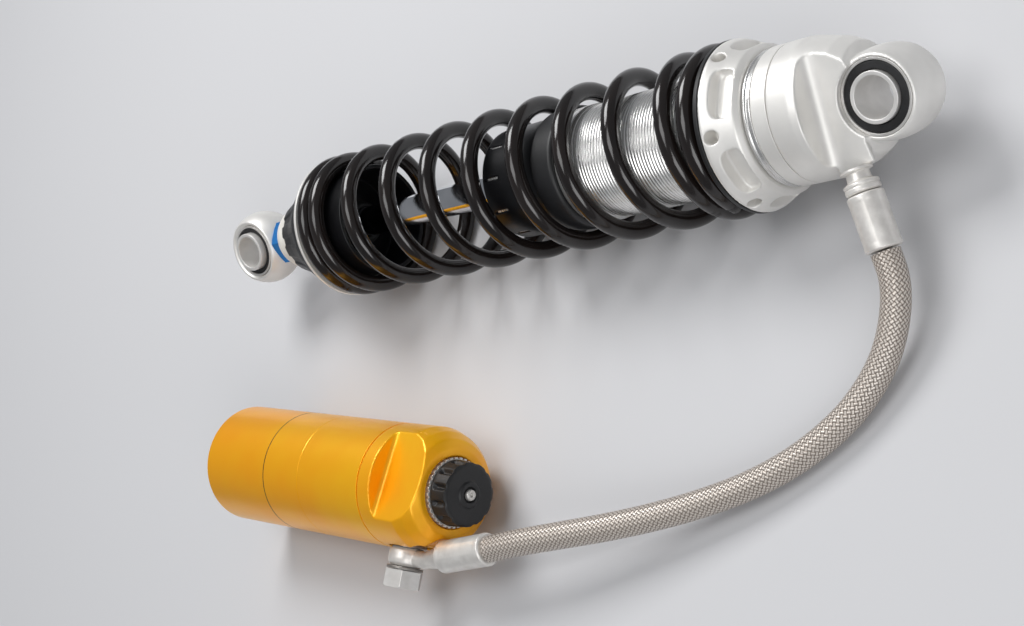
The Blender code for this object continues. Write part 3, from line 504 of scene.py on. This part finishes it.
def add_body_tube():
    """The tube from its plain collar up: a radius that is a rounded saw tooth of the station less the
    angle's share of one pitch, which is a single-start thread."""
    low, thread = TUBE_LOW + 0.0124, TUBE_LOW + 0.0225
    outer = np.arange(thread, TUBE_HIGH - 0.018, THREAD_PITCH / 8)
    station = np.concatenate([[TUBE_LOW, TUBE_LOW, low - 0.0001, low, low + 0.0004, thread - 0.0006,
                               thread - 0.0001], outer, [TUBE_HIGH, TUBE_HIGH, TUBE_LOW]])[:, None]
    radius = np.concatenate([[0.0212, 0.0229, 0.0229, 0.0238, 0.0242, 0.0242, 0.0238],
                             np.full(len(outer), BODY_R), [BODY_R, 0.0212, 0.0212]])[:, None]
    angle = np.linspace(0, TURN, 112, endpoint=False)[None, :]
    phase = station / THREAD_PITCH - angle / TURN
    tooth = np.abs(2 * (phase - np.floor(phase)) - 1)
    fade = np.clip((station - thread) / 0.002, 0, 1) * (radius == BODY_R)
    radius = radius - fade * 0.00052 * np.clip(1.35 * tooth - 0.15, 0, 1)
    tube = skin("threaded_body", DAMPER.points(station, radius, angle), TURNED_ALUMINIUM, wrap_rows=True)
    place(tube, "damper_body", "body_tube")


SLOTS = 10


def slotted(radius, station, angle):
    """The end cap's spanner slots: short axial channels sunk 0.7 mm near its outer end."""
    low = -0.0040
    inside = between(station, low + 0.0035, low + 0.0105, 0.0004, 0.0004)
    across = np.abs((angle * SLOTS / TURN + 0.5) % 1 - 0.5) * TURN / SLOTS * 0.0234
    return radius - 0.0007 * inside * np.clip((0.00075 - across) / 0.0003, 0, 1) * (radius > 0.0230)


def add_body_ends():
    add_body_tube()
    low = -0.0040
    stations = np.concatenate([[0.0273], np.linspace(0.0262, low + 0.0016, 42)])
    cap = [(0.0234, s) for s in stations] + [(0.0219, low), (0.0122, low), (0.0122, 0.0), (0.0200, 0.0),
                                             (0.0200, 0.0273)]
    place(turned("end_cap_slotted", cap, BLACK_ALUMINIUM, steps=480, edge=0.0002, shape=slotted),
          "damper_body", "end_cap")
    floor_station = np.array([[low + 0.0040, low + 0.0040], [low + 0.0100, low + 0.0100]])
    floor_width = np.array([[-0.024, 0.024]])
    for k in range(SLOTS):
        grid = DAMPER.points(floor_station, 0.02285, TURN * k / SLOTS + floor_width)
        place(skin("slot_floor_%d" % k, grid, TURNED_ALUMINIUM, wrap_columns=False), "damper_body")
    place(turned("guide_ring", [(0.0229, TUBE_LOW + 0.0003), (0.0254, TUBE_LOW + 0.0003), (0.0257, 0.0330),
                                (0.0257, 0.0385), (0.0245, TUBE_LOW + 0.0121), (0.0229, TUBE_LOW + 0.0121)],
                 MOULDED_NYLON, edge=0.0012), "damper_body", "spring_guide")
    place(turned("wiper", [(0.0070, -0.0036), (0.0119, -0.0034), (0.0119, -0.0003), (0.0072, -0.0003)],
                 SEAL_RUBBER), "damper_body", "shaft_wiper")
    place(turned("polished_ring", [(0.0240, 0.1369), (0.0256, 0.1369), (0.0262, 0.1376), (0.0262, 0.1384),
                                   (0.0257, 0.1388), (0.0257, 0.1405), (0.0240, 0.1405)],
                 TURNED_ALUMINIUM, edge=0.0004),
          "damper_body", "head_lock_ring")


add_body_ends()


# ---------------------------------------------------------------- head
HEAD_LOW, HEAD_END = 0.1408, 0.1780


def barrel(half, radius, flat=0.86):
    """Profile of a rounded eye: from its flat face out to the middle on a quarter of an ellipse."""
    t = np.linspace(0, np.pi / 2, 14)
    upper = [(0.0, half)] + [(radius * (flat + (1 - flat) * np.sin(a)), half * np.cos(a)) for a in t]
    return upper + [(r, -z) for r, z in reversed(upper[:-1])]


def add_head():
    collar_high = 0.1480
    place(turned("head_collar", [(0.0240, collar_high), (0.0265, collar_high), (0.0265, HEAD_LOW + 0.0008),
                                 (0.0257, HEAD_LOW), (0.0240, HEAD_LOW)], BLASTED_ALUMINIUM, edge=0.00025),
          "damper_body")
    low = collar_high + 0.00015
    base = turned("head_blank", [
        (0.0, HEAD_END), (0.0160, HEAD_END), (0.0205, HEAD_END - 0.0020), (0.0233, HEAD_END - 0.0075),
        (0.0252, HEAD_END - 0.0150), (0.0265, HEAD_END - 0.0205), (0.0265, low), (0.0240, low),
        (0.0240, 0.1603), (0.0, 0.1603)], BLASTED_ALUMINIUM, edge=0.0002)
    joined = [turned("lug", barrel(0.0112, 0.0171), BLASTED_ALUMINIUM, UPPER_EYE, edge=0.0001),
              turned("port_boss", [(0.0, 0.0), (0.0075, 0.0), (0.0075, -0.0200), (0.0, -0.0200)],
                     BLASTED_ALUMINIUM, PORT, steps=64)]
    flank = Axis((0.0, AXIS_Y, AXIS_Z), (1, 0, 0), EYE_BOLT)
    removed = []
    for sign in (-1, 1):
        # Each flat runs into the round head on a 5 mm fillet: a cutter's radius, then the flat beyond it
        # and the clearance beside it.
        removed.append(slab("flat_%d" % sign, flank, 0.1655, 0.2105, 0.0150, 0.0350, side=sign * 0.0285))
        removed.append(slab("clearance_%d" % sign, flank, 0.1605, 0.1660, 0.0100, 0.0350, side=sign * 0.0285))
        middle = flank.start + 0.1655 * flank.along + sign * 0.0185 * flank.side
        removed.append(turned("fillet_%d" % sign, [(0.0, 0.0350), (0.0050, 0.0350), (0.0050, -0.0350),
                                                   (0.0, -0.0350)], BLASTED_ALUMINIUM,
                              Axis(middle, flank.up, (1, 0, 0)), steps=72))
    removed += [turned("port_seat", [(0.0, 0.0200), (0.0085, 0.0200), (0.0085, 0.0), (0.0, 0.0)],
                       BLASTED_ALUMINIUM, PORT, steps=64),
                turned("eye_bore", [(0.0, 0.03), (0.0142, 0.03), (0.0142, -0.03), (0.0, -0.03)],
                       BLASTED_ALUMINIUM, UPPER_EYE, edge=0.0001)]
    head = machined("top_head_machined", base, joined, removed, 0.00042, 9, BLASTED_ALUMINIUM)
    place(head, "damper_body", "top_head")


def add_eye(side, axis, body, sleeve_body, bush_r, half):
    """Rubber bush with a thin steel rim round it, and the steel sleeve with chamfered ends."""
    place(turned(side + "_rim", [(bush_r + 0.0002, half - 0.0002), (bush_r + 0.0002, -half + 0.0002),
                                 (bush_r - 0.0008, -half + 0.0002), (bush_r - 0.0008, half - 0.0002)],
                 MACHINED_STEEL, axis, edge=0.0002), body)
    place(turned(side + "_bush_rubber", [(bush_r - 0.0009, half - 0.0005), (bush_r - 0.0009, -half + 0.0005),
                                         (0.0098, -half + 0.0002), (0.0098, half - 0.0002)],
                 RUBBER, axis, edge=0.0006), body, side + "_bush")
    place(turned(side + "_sleeve_steel", [(0.0095, 0.0125), (0.0095, -0.0125), (0.0078, -0.0125),
                                          (0.0078, 0.0125)], SATIN_STEEL, axis, edge=0.0004),
          sleeve_body, side + "_sleeve")


add_head()
add_eye("upper", UPPER_EYE, "damper_body", "upper_bolt_sleeve", 0.0139, 0.0112)
add_eye("lower", LOWER_EYE, "lower_eye_end", "lower_bolt_sleeve", 0.0127, 0.0098)


# ---------------------------------------------------------------- shaft, spring seat and lower eye
SEAT_X = -0.1188
NUT_R = 0.0117                  # the lock nut, over its corners
NUT_TURN = np.radians(88)       # the way one of its sides faces


def hexagon(across_flats, chamfer_low, chamfer_high, slope=0.6):
    """Radius of a hexagon cut back by a cone at either end: the smaller of the two at each angle."""
    def shape(radius, station, angle):
        flats = across_flats / 2 / np.cos((angle + np.pi / 6) % (np.pi / 3) - np.pi / 6)
        cone = across_flats / 2 + np.minimum(station - chamfer_low, chamfer_high - station) / slope
        return np.where(radius > 0.4 * across_flats, np.minimum(flats, cone), radius)
    return shape


def notched(count, depth, share, low, high):
    """Axial finger notches: count channels, each this share of the pitch wide, between two stations."""
    def shape(radius, station, angle):
        across = np.abs((angle * count / TURN + 0.5) % 1 - 0.5) * 2
        inside = between(station, low, high, 0.0012, 0.0012)
        return radius - depth * inside * np.clip((share - across) / 0.20, 0, 1)
    return shape


def add_lower_end():
    place(turned("shaft_chromed", [(0.0049, 0.0790), (0.0049, 0.0400), (0.0069, 0.0400),
                                   (0.0069, -0.1360), (0.0023, -0.1360), (0.0023, 0.0790)], CHROME,
                 steps=96), "shaft_assembly", "shaft")
    place(turned("seat_cup", [(0.0256, SEAT_X + 0.0230), (0.0256, SEAT_X + 0.0002), (0.0110, SEAT_X - 0.0002),
                              (0.0110, SEAT_X + 0.0008), (0.0235, SEAT_X + 0.0016),
                              (0.0235, SEAT_X + 0.0230)], BLACK_ALUMINIUM, edge=0.0007),
          "shaft_assembly", "lower_spring_seat")
    place(turned("seat_flange", [(0.0334, SEAT_X - 0.0003), (0.0334, SEAT_X - 0.0017),
                                 (0.0318, SEAT_X - 0.0023), (0.0260, SEAT_X - 0.0023),
                                 (0.0260, SEAT_X - 0.0003)], BLASTED_ALUMINIUM, edge=0.0003),
          "shaft_assembly")
    place(turned("seat_back", [(0.0308, SEAT_X - 0.0018), (0.0289, SEAT_X - 0.0080),
                               (0.0110, SEAT_X - 0.0080), (0.0110, SEAT_X - 0.0008),
                               (0.0258, SEAT_X - 0.0008)], BLACK_ALUMINIUM, edge=0.0004),
          "shaft_assembly")
    top = SEAT_X + 0.0120
    stop = rounded([(0.0086, top), (0.0104, top - 0.0020), (0.0096, top - 0.0045), (0.0112, top - 0.0070),
                    (0.0112, top - 0.0105), (0.0072, top - 0.0105), (0.0072, top)], 0.0012)
    place(turned("bump_stop_rubber", stop.tolist(), RUBBER, edge=0.0001, steps=64), "shaft_assembly",
          "bump_stop")
    place(turned("end_piece_turned", [(0.0107, -0.1200), (0.0107, -0.1270), (0.0128, -0.1270),
                                      (0.0128, -0.1612), (0.0063, -0.1612), (0.0063, -0.1387),
                                      (0.0072, -0.1363), (0.0072, -0.1200)], BLACK_ALUMINIUM, steps=80),
          "shaft_assembly", "end_piece")
    place(turned("collar_acetal", [(0.0150, -0.1503), (0.0152, -0.1508), (0.0152, -0.1568),
                                   (0.0146, -0.1582), (0.0131, -0.1608), (0.0131, -0.1503)], ACETAL,
                 edge=0.0005), "shaft_assembly", "seat_collar")
    high, low = -0.1270, -0.1499
    stations = np.linspace(low, high, 60)
    cone = ([low, -0.1410, -0.1370, -0.1300, high], [0.0182, 0.0216, 0.0236, 0.0276, 0.0286])
    knob = [(np.interp(s, *cone), s) for s in stations[::-1]]
    knob += [(0.0131, low), (0.0131, high)]
    flutes = notched(12, 0.0008, 0.50, low - 0.0020, -0.1290)
    place(turned("rebound_knob_notched", knob, MOULDED_NYLON, steps=432, edge=0.0002,
                 shape=lambda r, s, a: np.where(r > 0.0150, flutes(r, s, a), r)),
          "rebound_adjuster", "rebound_knob")
    low, high = -0.1685, -0.1616
    nut = [(NUT_R, s) for s in np.linspace(high, low, 40)] + [(0.0063, low), (0.0063, high)]
    place(turned("lock_nut_hexagon", nut, BLUE_ALUMINIUM, steps=360, edge=0.0001,
                 axis=Axis(DAMPER.start, DAMPER.along, (0, np.cos(NUT_TURN), np.sin(NUT_TURN))),
                 shape=hexagon(1.732 * NUT_R, low - 0.0002, high + 0.0002)), "shaft_assembly", "lock_nut")


def ball(radius, half, groove_r):
    """Profile of a ball eye cut off flat at both faces: the radius is the root of R squared less 1.1 z
    squared, and each face has a shallow groove round the bush."""
    z = np.linspace(half, -half, 29)
    face = [(0.0, half - 0.0008), (groove_r, half - 0.0008), (groove_r + 0.0003, half)]
    arc = [(float(r), float(h)) for r, h in zip(np.sqrt(radius ** 2 - 1.1 * z ** 2), z)]
    return face + arc + [(r, -h) for r, h in reversed(face)]


def add_lower_eye():
    ball_axis = Axis(LOWER_EYE.start - 0.0005 * DAMPER.along, EYE_BOLT, (1, 0, 0))
    base = turned("lower_blank", [(0.0, -0.1390), (0.0060, -0.1390), (0.0060, LOWER_EYE_X + 0.0147),
                                  (0.0, LOWER_EYE_X + 0.0147)], BLASTED_ALUMINIUM, edge=0.0002, steps=96)
    joined = [turned("lower_barrel", ball(0.0182, 0.0098, 0.0137), BLASTED_ALUMINIUM, ball_axis,
                     edge=0.0002)]
    removed = [turned("lower_bore", [(0.0, 0.03), (0.0130, 0.03), (0.0130, -0.03), (0.0, -0.03)],
                      BLASTED_ALUMINIUM, LOWER_EYE, edge=0.0001)]
    eye = machined("lower_eye_forged", base, joined, removed, 0.00033, 5, BLASTED_ALUMINIUM)
    place(eye, "lower_eye_end", "lower_eye")


add_lower_end()
add_lower_eye()


# ---------------------------------------------------------------- spring, platform and preload ring
WIRE_R = 0.00375
SPRING_PITCH = 0.02678
SPRING_START_X = -0.1896        # where the open coils' line would be at no turns
SPRING_ANGLE = np.radians(115.4)
PLATFORM_X = 0.1201
SEAM_X = 0.0762


def soft_floor(value, floor, softness):
    """The larger of two numbers, with a rounded corner between them."""
    return 0.5 * (value + floor + np.sqrt((value - floor) ** 2 + softness ** 2))


def spring_route():
    """Centre line of the wire.  Its station is a straight line against the turns, which meets a
    flatter line at each end, where the closed coil lies on its neighbour."""
    mean_r, closed = 0.0339 - WIRE_R, 2 * WIRE_R + 0.0004
    low, high = SEAT_X + WIRE_R, PLATFORM_X - WIRE_R
    first, last, ground = 2.07, 12.19, 0.62
    turn = np.linspace(first - ground, last, 1160)
    station = soft_floor(SPRING_START_X + SPRING_PITCH * turn, low + closed * (turn - first), 0.002)
    station = -soft_floor(-station, -(high - closed * (last - turn)), 0.002)
    station = np.minimum(station, high)
    return DAMPER.points(station, mean_r, TURN * turn + SPRING_ANGLE), station


def add_spring():
    """The wire in two lengths that meet at SEAM_X inside an open coil: the long one rides on the shaft
    assembly and the short one on the damper body, each with a mesh of its own."""
    route, station = spring_route()
    seam = int(np.searchsorted(station, SEAM_X))
    lower = pipe("spring_wire_lower", route, WIRE_R, SPRING_ENAMEL, 40, part=slice(0, seam + 1),
                 ground_x=SEAT_X + 0.0001)
    upper = pipe("spring_wire_upper", route, WIRE_R, SPRING_ENAMEL, 40, part=slice(seam, None))
    place(lower, "shaft_assembly", "coil_spring")
    place(upper, "damper_body")
    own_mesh(lower)
    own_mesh(upper)


def add_preload():
    place(turned("bearing_washer", [(0.0240, PLATFORM_X + 0.0003), (0.0335, PLATFORM_X + 0.0003),
                                    (0.0335, PLATFORM_X + 0.0022), (0.0240, PLATFORM_X + 0.0022)],
                 MOULDED_NYLON, edge=0.0004), "spring_bearing", "spring_platform")
    low = PLATFORM_X + 0.0025
    base = turned("ring_blank", [
        (0.0270, 0.1366), (0.0290, 0.1350), (0.0308, low + 0.0072), (0.0334, low + 0.0012), (0.0334, low),
        (0.0240, low), (0.0240, 0.1366)], BLASTED_ALUMINIUM, edge=0.0002, steps=144)
    removed = []
    for k in range(6):
        spoke = TURN * k / 6 + np.radians(1)
        out = DAMPER.points(0.0, 1.0, spoke) - DAMPER.start
        centre = DAMPER.start + (low + 0.0035) * DAMPER.along
        removed.append(turned("pin_hole_%d" % k, [(0.0, 0.0400), (0.0026, 0.0400), (0.0026, 0.0255),
                                                  (0.0, 0.0255)], BLASTED_ALUMINIUM,
                              Axis(centre, out, (1, 0, 0)), steps=40))
        spoke += TURN / 12
        out = DAMPER.points(0.0, 1.0, spoke) - DAMPER.start
        centre = DAMPER.start + (low + 0.0080) * DAMPER.along
        removed.append(pocket("pocket_%d" % k, Axis(centre, out, (1, 0, 0))))
    ring = machined("preload_ring_milled", base, [], removed, 0.00042, 5, BLASTED_ALUMINIUM)
    place(ring, "preload_adjuster", "preload_ring")


def pocket(name, axis):
    """A cutter with a rounded rectangle for its outline: 8 mm along the damper and 19 mm round it,
    square to the ring's surface and ending 26.6 mm from the damper's axis."""
    angle = np.linspace(0, TURN, 64, endpoint=False)[None, :]
    half_along, half_round, power = 0.0040, 0.0096, 4.0
    radius = (np.abs(np.cos(angle) / half_along) ** power
              + np.abs(np.sin(angle) / half_round) ** power) ** (-1 / power)
    share = np.array([0.0, 1.0, 1.0, 0.9, 0.0])[:, None]
    station = np.array([0.0400, 0.0400, 0.0274, 0.0266, 0.0266])[:, None]
    return skin(name, axis.points(station, share * radius, angle), BLASTED_ALUMINIUM)


add_spring()
add_preload()


# ---------------------------------------------------------------- reservoir
RES_R, TUBE_END, HEAD_HIGH = 0.0272, 0.1175, 0.1500
FLAT_LOW, FLAT_R, FLAT_TWIST = 0.0082, 0.0193, np.radians(-3.3)
BANJO_TILT = np.radians(4)
BANJO_OUT = -np.cos(BANJO_TILT) * RES_SIDE + np.array((0.0, 0.0, -np.sin(BANJO_TILT)))
BANJO = Axis(RESERVOIR.start + 0.1272 * RES_ALONG, BANJO_OUT, RES_ALONG)


def hose_tail():
    """The bend in the banjo's neck, and the direction from it to the hose's end."""
    centre = BANJO.start + 0.0300 * BANJO.along
    end = HOSE_ROUTE[-1]
    flat = end - centre
    flat = flat - np.dot(flat, BANJO.along) * BANJO.along
    elbow = centre + 0.0120 * flat / np.linalg.norm(flat)
    return centre, flat, elbow, end - elbow


def grooved(*stations):
    """Fine turned grooves: the radius dips 0.25 mm in a V 0.5 mm wide at each station."""
    def shape(radius, station, angle):
        for middle in stations:
            dip = np.clip(1 - np.abs(station - middle) / 0.00025, 0, 1)
            radius = radius - 0.00025 * dip * (radius > 0.026)
        return radius
    return shape


def add_reservoir():
    near_grooves = [s + d for s in (0.0742, 0.0475) for d in (-0.0004, -0.00025, 0.0, 0.00025, 0.0004)]
    outer = sorted([0.0006, *near_grooves, TUBE_END], reverse=True)
    tube = [(RES_R, s) for s in outer] + [(RES_R - 0.0008, 0.0), (0.0245, 0.0), (0.0245, TUBE_END)]
    place(turned("reservoir_body", tube, GOLD_ALUMINIUM, RESERVOIR, edge=0.00012,
                 shape=grooved(0.0742)), "damper_body", "reservoir_tube")
    place(turned("printed_line", [(RES_R + 0.00003, 0.0478), (RES_R + 0.00003, 0.0473),
                                  (RES_R - 0.0003, 0.0473), (RES_R - 0.0003, 0.0478)], PRINT, RESERVOIR,
                 edge=0.00001), "damper_body")
    place(turned("end_plug", [(0.0242, 0.0110), (0.0242, 0.0030), (0.0060, 0.0030), (0.0060, 0.0070),
                              (0.0030, 0.0070), (0.0030, 0.0110)], BLACK_ALUMINIUM, RESERVOIR),
          "damper_body", "reservoir_end_cap")
    place(turned("wire_clip", [(0.0222, 0.0012), (0.0242, 0.0012), (0.0242, 0.0027), (0.0222, 0.0027)],
                 MACHINED_STEEL, RESERVOIR, edge=0.0006), "damper_body", "end_cap_circlip")
    place(turned("gas_plug", [(0.0, 0.0020), (0.0018, 0.0020), (0.0018, 0.0034), (0.0030, 0.0034),
                              (0.0030, 0.0020), (0.0056, 0.0020), (0.0056, 0.0066), (0.0, 0.0066)],
                 MACHINED_STEEL, RESERVOIR, steps=72), "damper_body", "gas_valve")
    low = TUBE_END + GAP
    base = turned("reservoir_head_blank", [
        (0.0154, HEAD_HIGH), (0.0185, HEAD_HIGH), (0.0225, HEAD_HIGH - 0.0020), (0.0255, HEAD_HIGH - 0.0060),
        (RES_R, HEAD_HIGH - 0.0110), (RES_R, low), (0.0240, low), (0.0240, low - 0.0080),
        (0.0083, low - 0.0080), (0.0083, HEAD_HIGH - 0.0020), (0.0154, HEAD_HIGH - 0.0020)],
        GOLD_MILLED, RESERVOIR, edge=0.0003, steps=144)
    centre, _, elbow, towards = hose_tail()
    seat_r = 0.0083
    channel = Axis(BANJO.start, RES_ALONG, BANJO.along)
    flat_low, fillet_r = low + FLAT_LOW, 0.0020
    flat_up = np.cos(FLAT_TWIST) * RESERVOIR.up - np.sin(FLAT_TWIST) * RESERVOIR.side
    flat_side = np.cos(FLAT_TWIST) * RESERVOIR.side + np.sin(FLAT_TWIST) * RESERVOIR.up
    removed = [
        slab("milled_flat", RESERVOIR, flat_low + fillet_r, low + 0.0600, 0.0300, 0.0100,
             up=FLAT_R + 0.0100, twist=FLAT_TWIST),
        slab("flat_clearance", RESERVOIR, flat_low, flat_low + fillet_r + 0.0005, 0.0300, 0.0100,
             up=FLAT_R + 0.0100 + fillet_r, twist=FLAT_TWIST),
        turned("flat_fillet", [(0.0, 0.0300), (fillet_r, 0.0300), (fillet_r, -0.0300), (0.0, -0.0300)],
               GOLD_MILLED, Axis(RESERVOIR.start + (flat_low + fillet_r) * RESERVOIR.along
                                 + (FLAT_R + fillet_r) * flat_up, flat_side, (0, 0, 1)), steps=64),
        turned("spot_face", [(0.0, 0.0340), (seat_r, 0.0340), (seat_r, 0.0242), (0.0, 0.0242)], GOLD_MILLED,
               BANJO, steps=72),
        slab("neck_channel", channel, 0.0, 0.0400, 0.0050, seat_r, side=0.0292),
        turned("neck_scoop", [(0.0, 0.0230), (0.0074, 0.0230), (0.0074, -0.0070), (0.0, -0.0070)],
               GOLD_MILLED, Axis(elbow, towards, (0, 0, 1)), steps=64),
        turned("bolt_hole", [(0.0, 0.0375), (0.0053, 0.0375), (0.0053, 0.0175), (0.0, 0.0175)], GOLD_MILLED,
               BANJO, steps=48),
    ]
    head = machined("reservoir_head_milled", base, [], removed, 0.00042, 6, GOLD_MILLED)
    place(head, "damper_body", "reservoir_head")


def dashed(radius, station, angle):
    """The click ring's detents: its outer edge dips 0.6 mm in thirty-six short gaps."""
    across = np.abs((angle * 36 / TURN + 0.5) % 1 - 0.5) * 2
    return radius - 0.0006 * np.clip((0.45 - across) / 0.1, 0, 1) * (radius > 0.0140)


def fluted(radius, station, angle):
    """The compression knob's twelve finger flutes: rounded dips that run out before the front face."""
    low = HEAD_HIGH + 0.0011
    wave = np.maximum(0.0, np.cos(12 * angle)) ** 1.6
    inside = between(station, low + 0.0008, low + 0.0088, 0.0015, 0.0022)
    return radius - 0.0016 * wave * inside * (radius > 0.0118)


def add_compression_knob():
    place(turned("click_ring", [(0.0100, HEAD_HIGH + 0.0008), (0.0150, HEAD_HIGH + 0.0008),
                                (0.0150, HEAD_HIGH - 0.0017), (0.0100, HEAD_HIGH - 0.0017)],
                 MACHINED_STEEL, RESERVOIR, edge=0.0002, steps=432, shape=dashed), "damper_body",
          "detent_ring")
    low = HEAD_HIGH + 0.0011
    high = low + 0.0094
    side = [(np.interp(s, [low, high], [0.0141, 0.0134]), s) for s in np.linspace(high - 0.0012, low, 30)]
    front = [(0.0, high - 0.0012), (0.0030, high - 0.0012), (0.0034, high), (0.0052, high),
             (0.0058, high - 0.0008), (0.0122, high - 0.0006)]
    knob = front + side + [(0.0105, low), (0.0, low)]
    place(turned("compression_knob_fluted", knob, MOULDED_NYLON, RESERVOIR, edge=0.0005, steps=360,
                 shape=fluted), "compression_adjuster", "compression_knob")
    place(turned("knob_screw_steel", [(0.0, high), (0.0009, high), (0.0009, high + 0.0008),
                                      (0.0020, high + 0.0010), (0.0024, high + 0.0005),
                                      (0.0024, high - 0.0009), (0.0, high - 0.0009)], MACHINED_STEEL,
                 RESERVOIR, steps=64, edge=0.0002), "compression_adjuster", "knob_screw")


add_reservoir()
add_compression_knob()


# ---------------------------------------------------------------- hose fittings
def crimped(low, high):
    """A crimp sleeve: eight shallow flats pressed into its middle, plain at both ends."""
    def shape(radius, station, angle):
        inside = between(station, low + 0.002, high - 0.002, 0.001, 0.001)
        flat = 1 / np.cos((angle + np.pi / 8) % (np.pi / 4) - np.pi / 8)
        return np.where(radius > 0.005, radius * (1 - inside * (0.022 - (flat - 1) * 0.2)), radius)
    return shape


def crimp_sleeve(name, axis, low, high, node):
    stations = np.linspace(high - 0.0006, low + 0.0006, 44)
    corners = [(0.0062, high)] + [(0.0069, s) for s in stations]
    corners += [(0.0062, low), (0.0030, low), (0.0030, high)]
    place(turned(name, corners, DRAWN_STEEL, axis, edge=0.0003, steps=128, shape=crimped(low, high)),
          "damper_body", node)


def add_fittings():
    place(turned("port_adapter_turned", [
        (0.0030, 0.0092), (0.0058, 0.0092), (0.0066, 0.0086), (0.0066, 0.0072), (0.0063, 0.0070),
        (0.0063, 0.0066), (0.0066, 0.0064), (0.0066, 0.0055), (0.0046, 0.0045), (0.0043, 0.0016),
        (0.0060, 0.0012), (0.0060, 0.0003), (0.0030, 0.0003)], DRAWN_STEEL, PORT, edge=0.0002, steps=96),
        "damper_body", "port_adapter")
    crimp_sleeve("upper_crimp", PORT, 0.0095, 0.0305, "upper_crimp_sleeve")
    centre, flat, elbow, towards = hose_tail()
    length = float(np.linalg.norm(towards))
    sleeve_low = length - 0.0270
    tail = Axis(elbow, towards, (0, 0, 1))
    crimp_sleeve("lower_crimp", tail, sleeve_low, length - 2 * GAP, "lower_crimp_sleeve")

    place(turned("inner_seal", [(0.0053, 0.0245), (0.0079, 0.0245), (0.0079, 0.0257), (0.0053, 0.0257)],
                 DARK_STEEL, BANJO, edge=0.0003), "damper_body", "inner_washer")
    place(turned("outer_seal", [(0.0053, 0.0343), (0.0079, 0.0343), (0.0079, 0.0355), (0.0053, 0.0355)],
                 DARK_STEEL, BANJO, edge=0.0003), "damper_body", "outer_washer")
    base = turned("banjo_blank", [(0.0053, 0.0259), (0.0064, 0.0259), (0.0076, 0.0272), (0.0080, 0.0290),
                                  (0.0080, 0.0310), (0.0076, 0.0328), (0.0064, 0.0341),
                                  (0.0053, 0.0341)], DRAWN_STEEL, BANJO, edge=0.0003,
                  steps=96)
    neck = Axis(centre, flat, (0, 0, 1))
    joined = [turned("neck", [(0.0, 0.0130), (0.0036, 0.0130), (0.0036, 0.0061), (0.0, 0.0061)], DRAWN_STEEL,
                     neck, steps=48, edge=0.0008),
              turned("tail", [(0.0, sleeve_low - GAP), (0.0050, sleeve_low - GAP),
                              (0.0048, sleeve_low - 0.0020), (0.0036, 0.0020), (0.0036, -0.0010),
                              (0.0, -0.0010)], DRAWN_STEEL, tail, steps=48, edge=0.0006)]
    banjo = machined("banjo_forged", base, joined, [], 0.00024, 6, DRAWN_STEEL)
    place(banjo, "damper_body", "banjo_fitting")

    low, high = 0.0358, 0.0433
    head = [(0.0, high - 0.0030), (0.0014, high - 0.0030), (0.0016, high), (0.0070, high)]
    head += [(0.0086, s) for s in np.linspace(high, low, 40)]
    head += [(0.0049, low), (0.0049, 0.0180), (0.0, 0.0180)]
    place(turned("banjo_bolt_hexagon", head, MACHINED_STEEL,
                 Axis(BANJO.start, BANJO.along, np.cos(0.26) * BANJO.side + np.sin(0.26) * BANJO.up),
                 edge=0.0001, steps=360, shape=hexagon(0.0152, low - 0.0050, high + 0.0004)),
          "damper_body", "banjo_bolt")


add_fittings()


# ---------------------------------------------------------------- pieces that stay as the frame has them
def finish_hidden_nodes():
    """Sealed inner pieces keep their shape and take their slot's finish."""
    slots = {part["node"]: part["material_slot"] for part in frame["record"]["subparts"]}
    for name, node in frame["nodes"].items():
        node.data.materials.clear()
        node.data.materials.append(SLOT_FINISH[slots[name]])


finish_hidden_nodes()
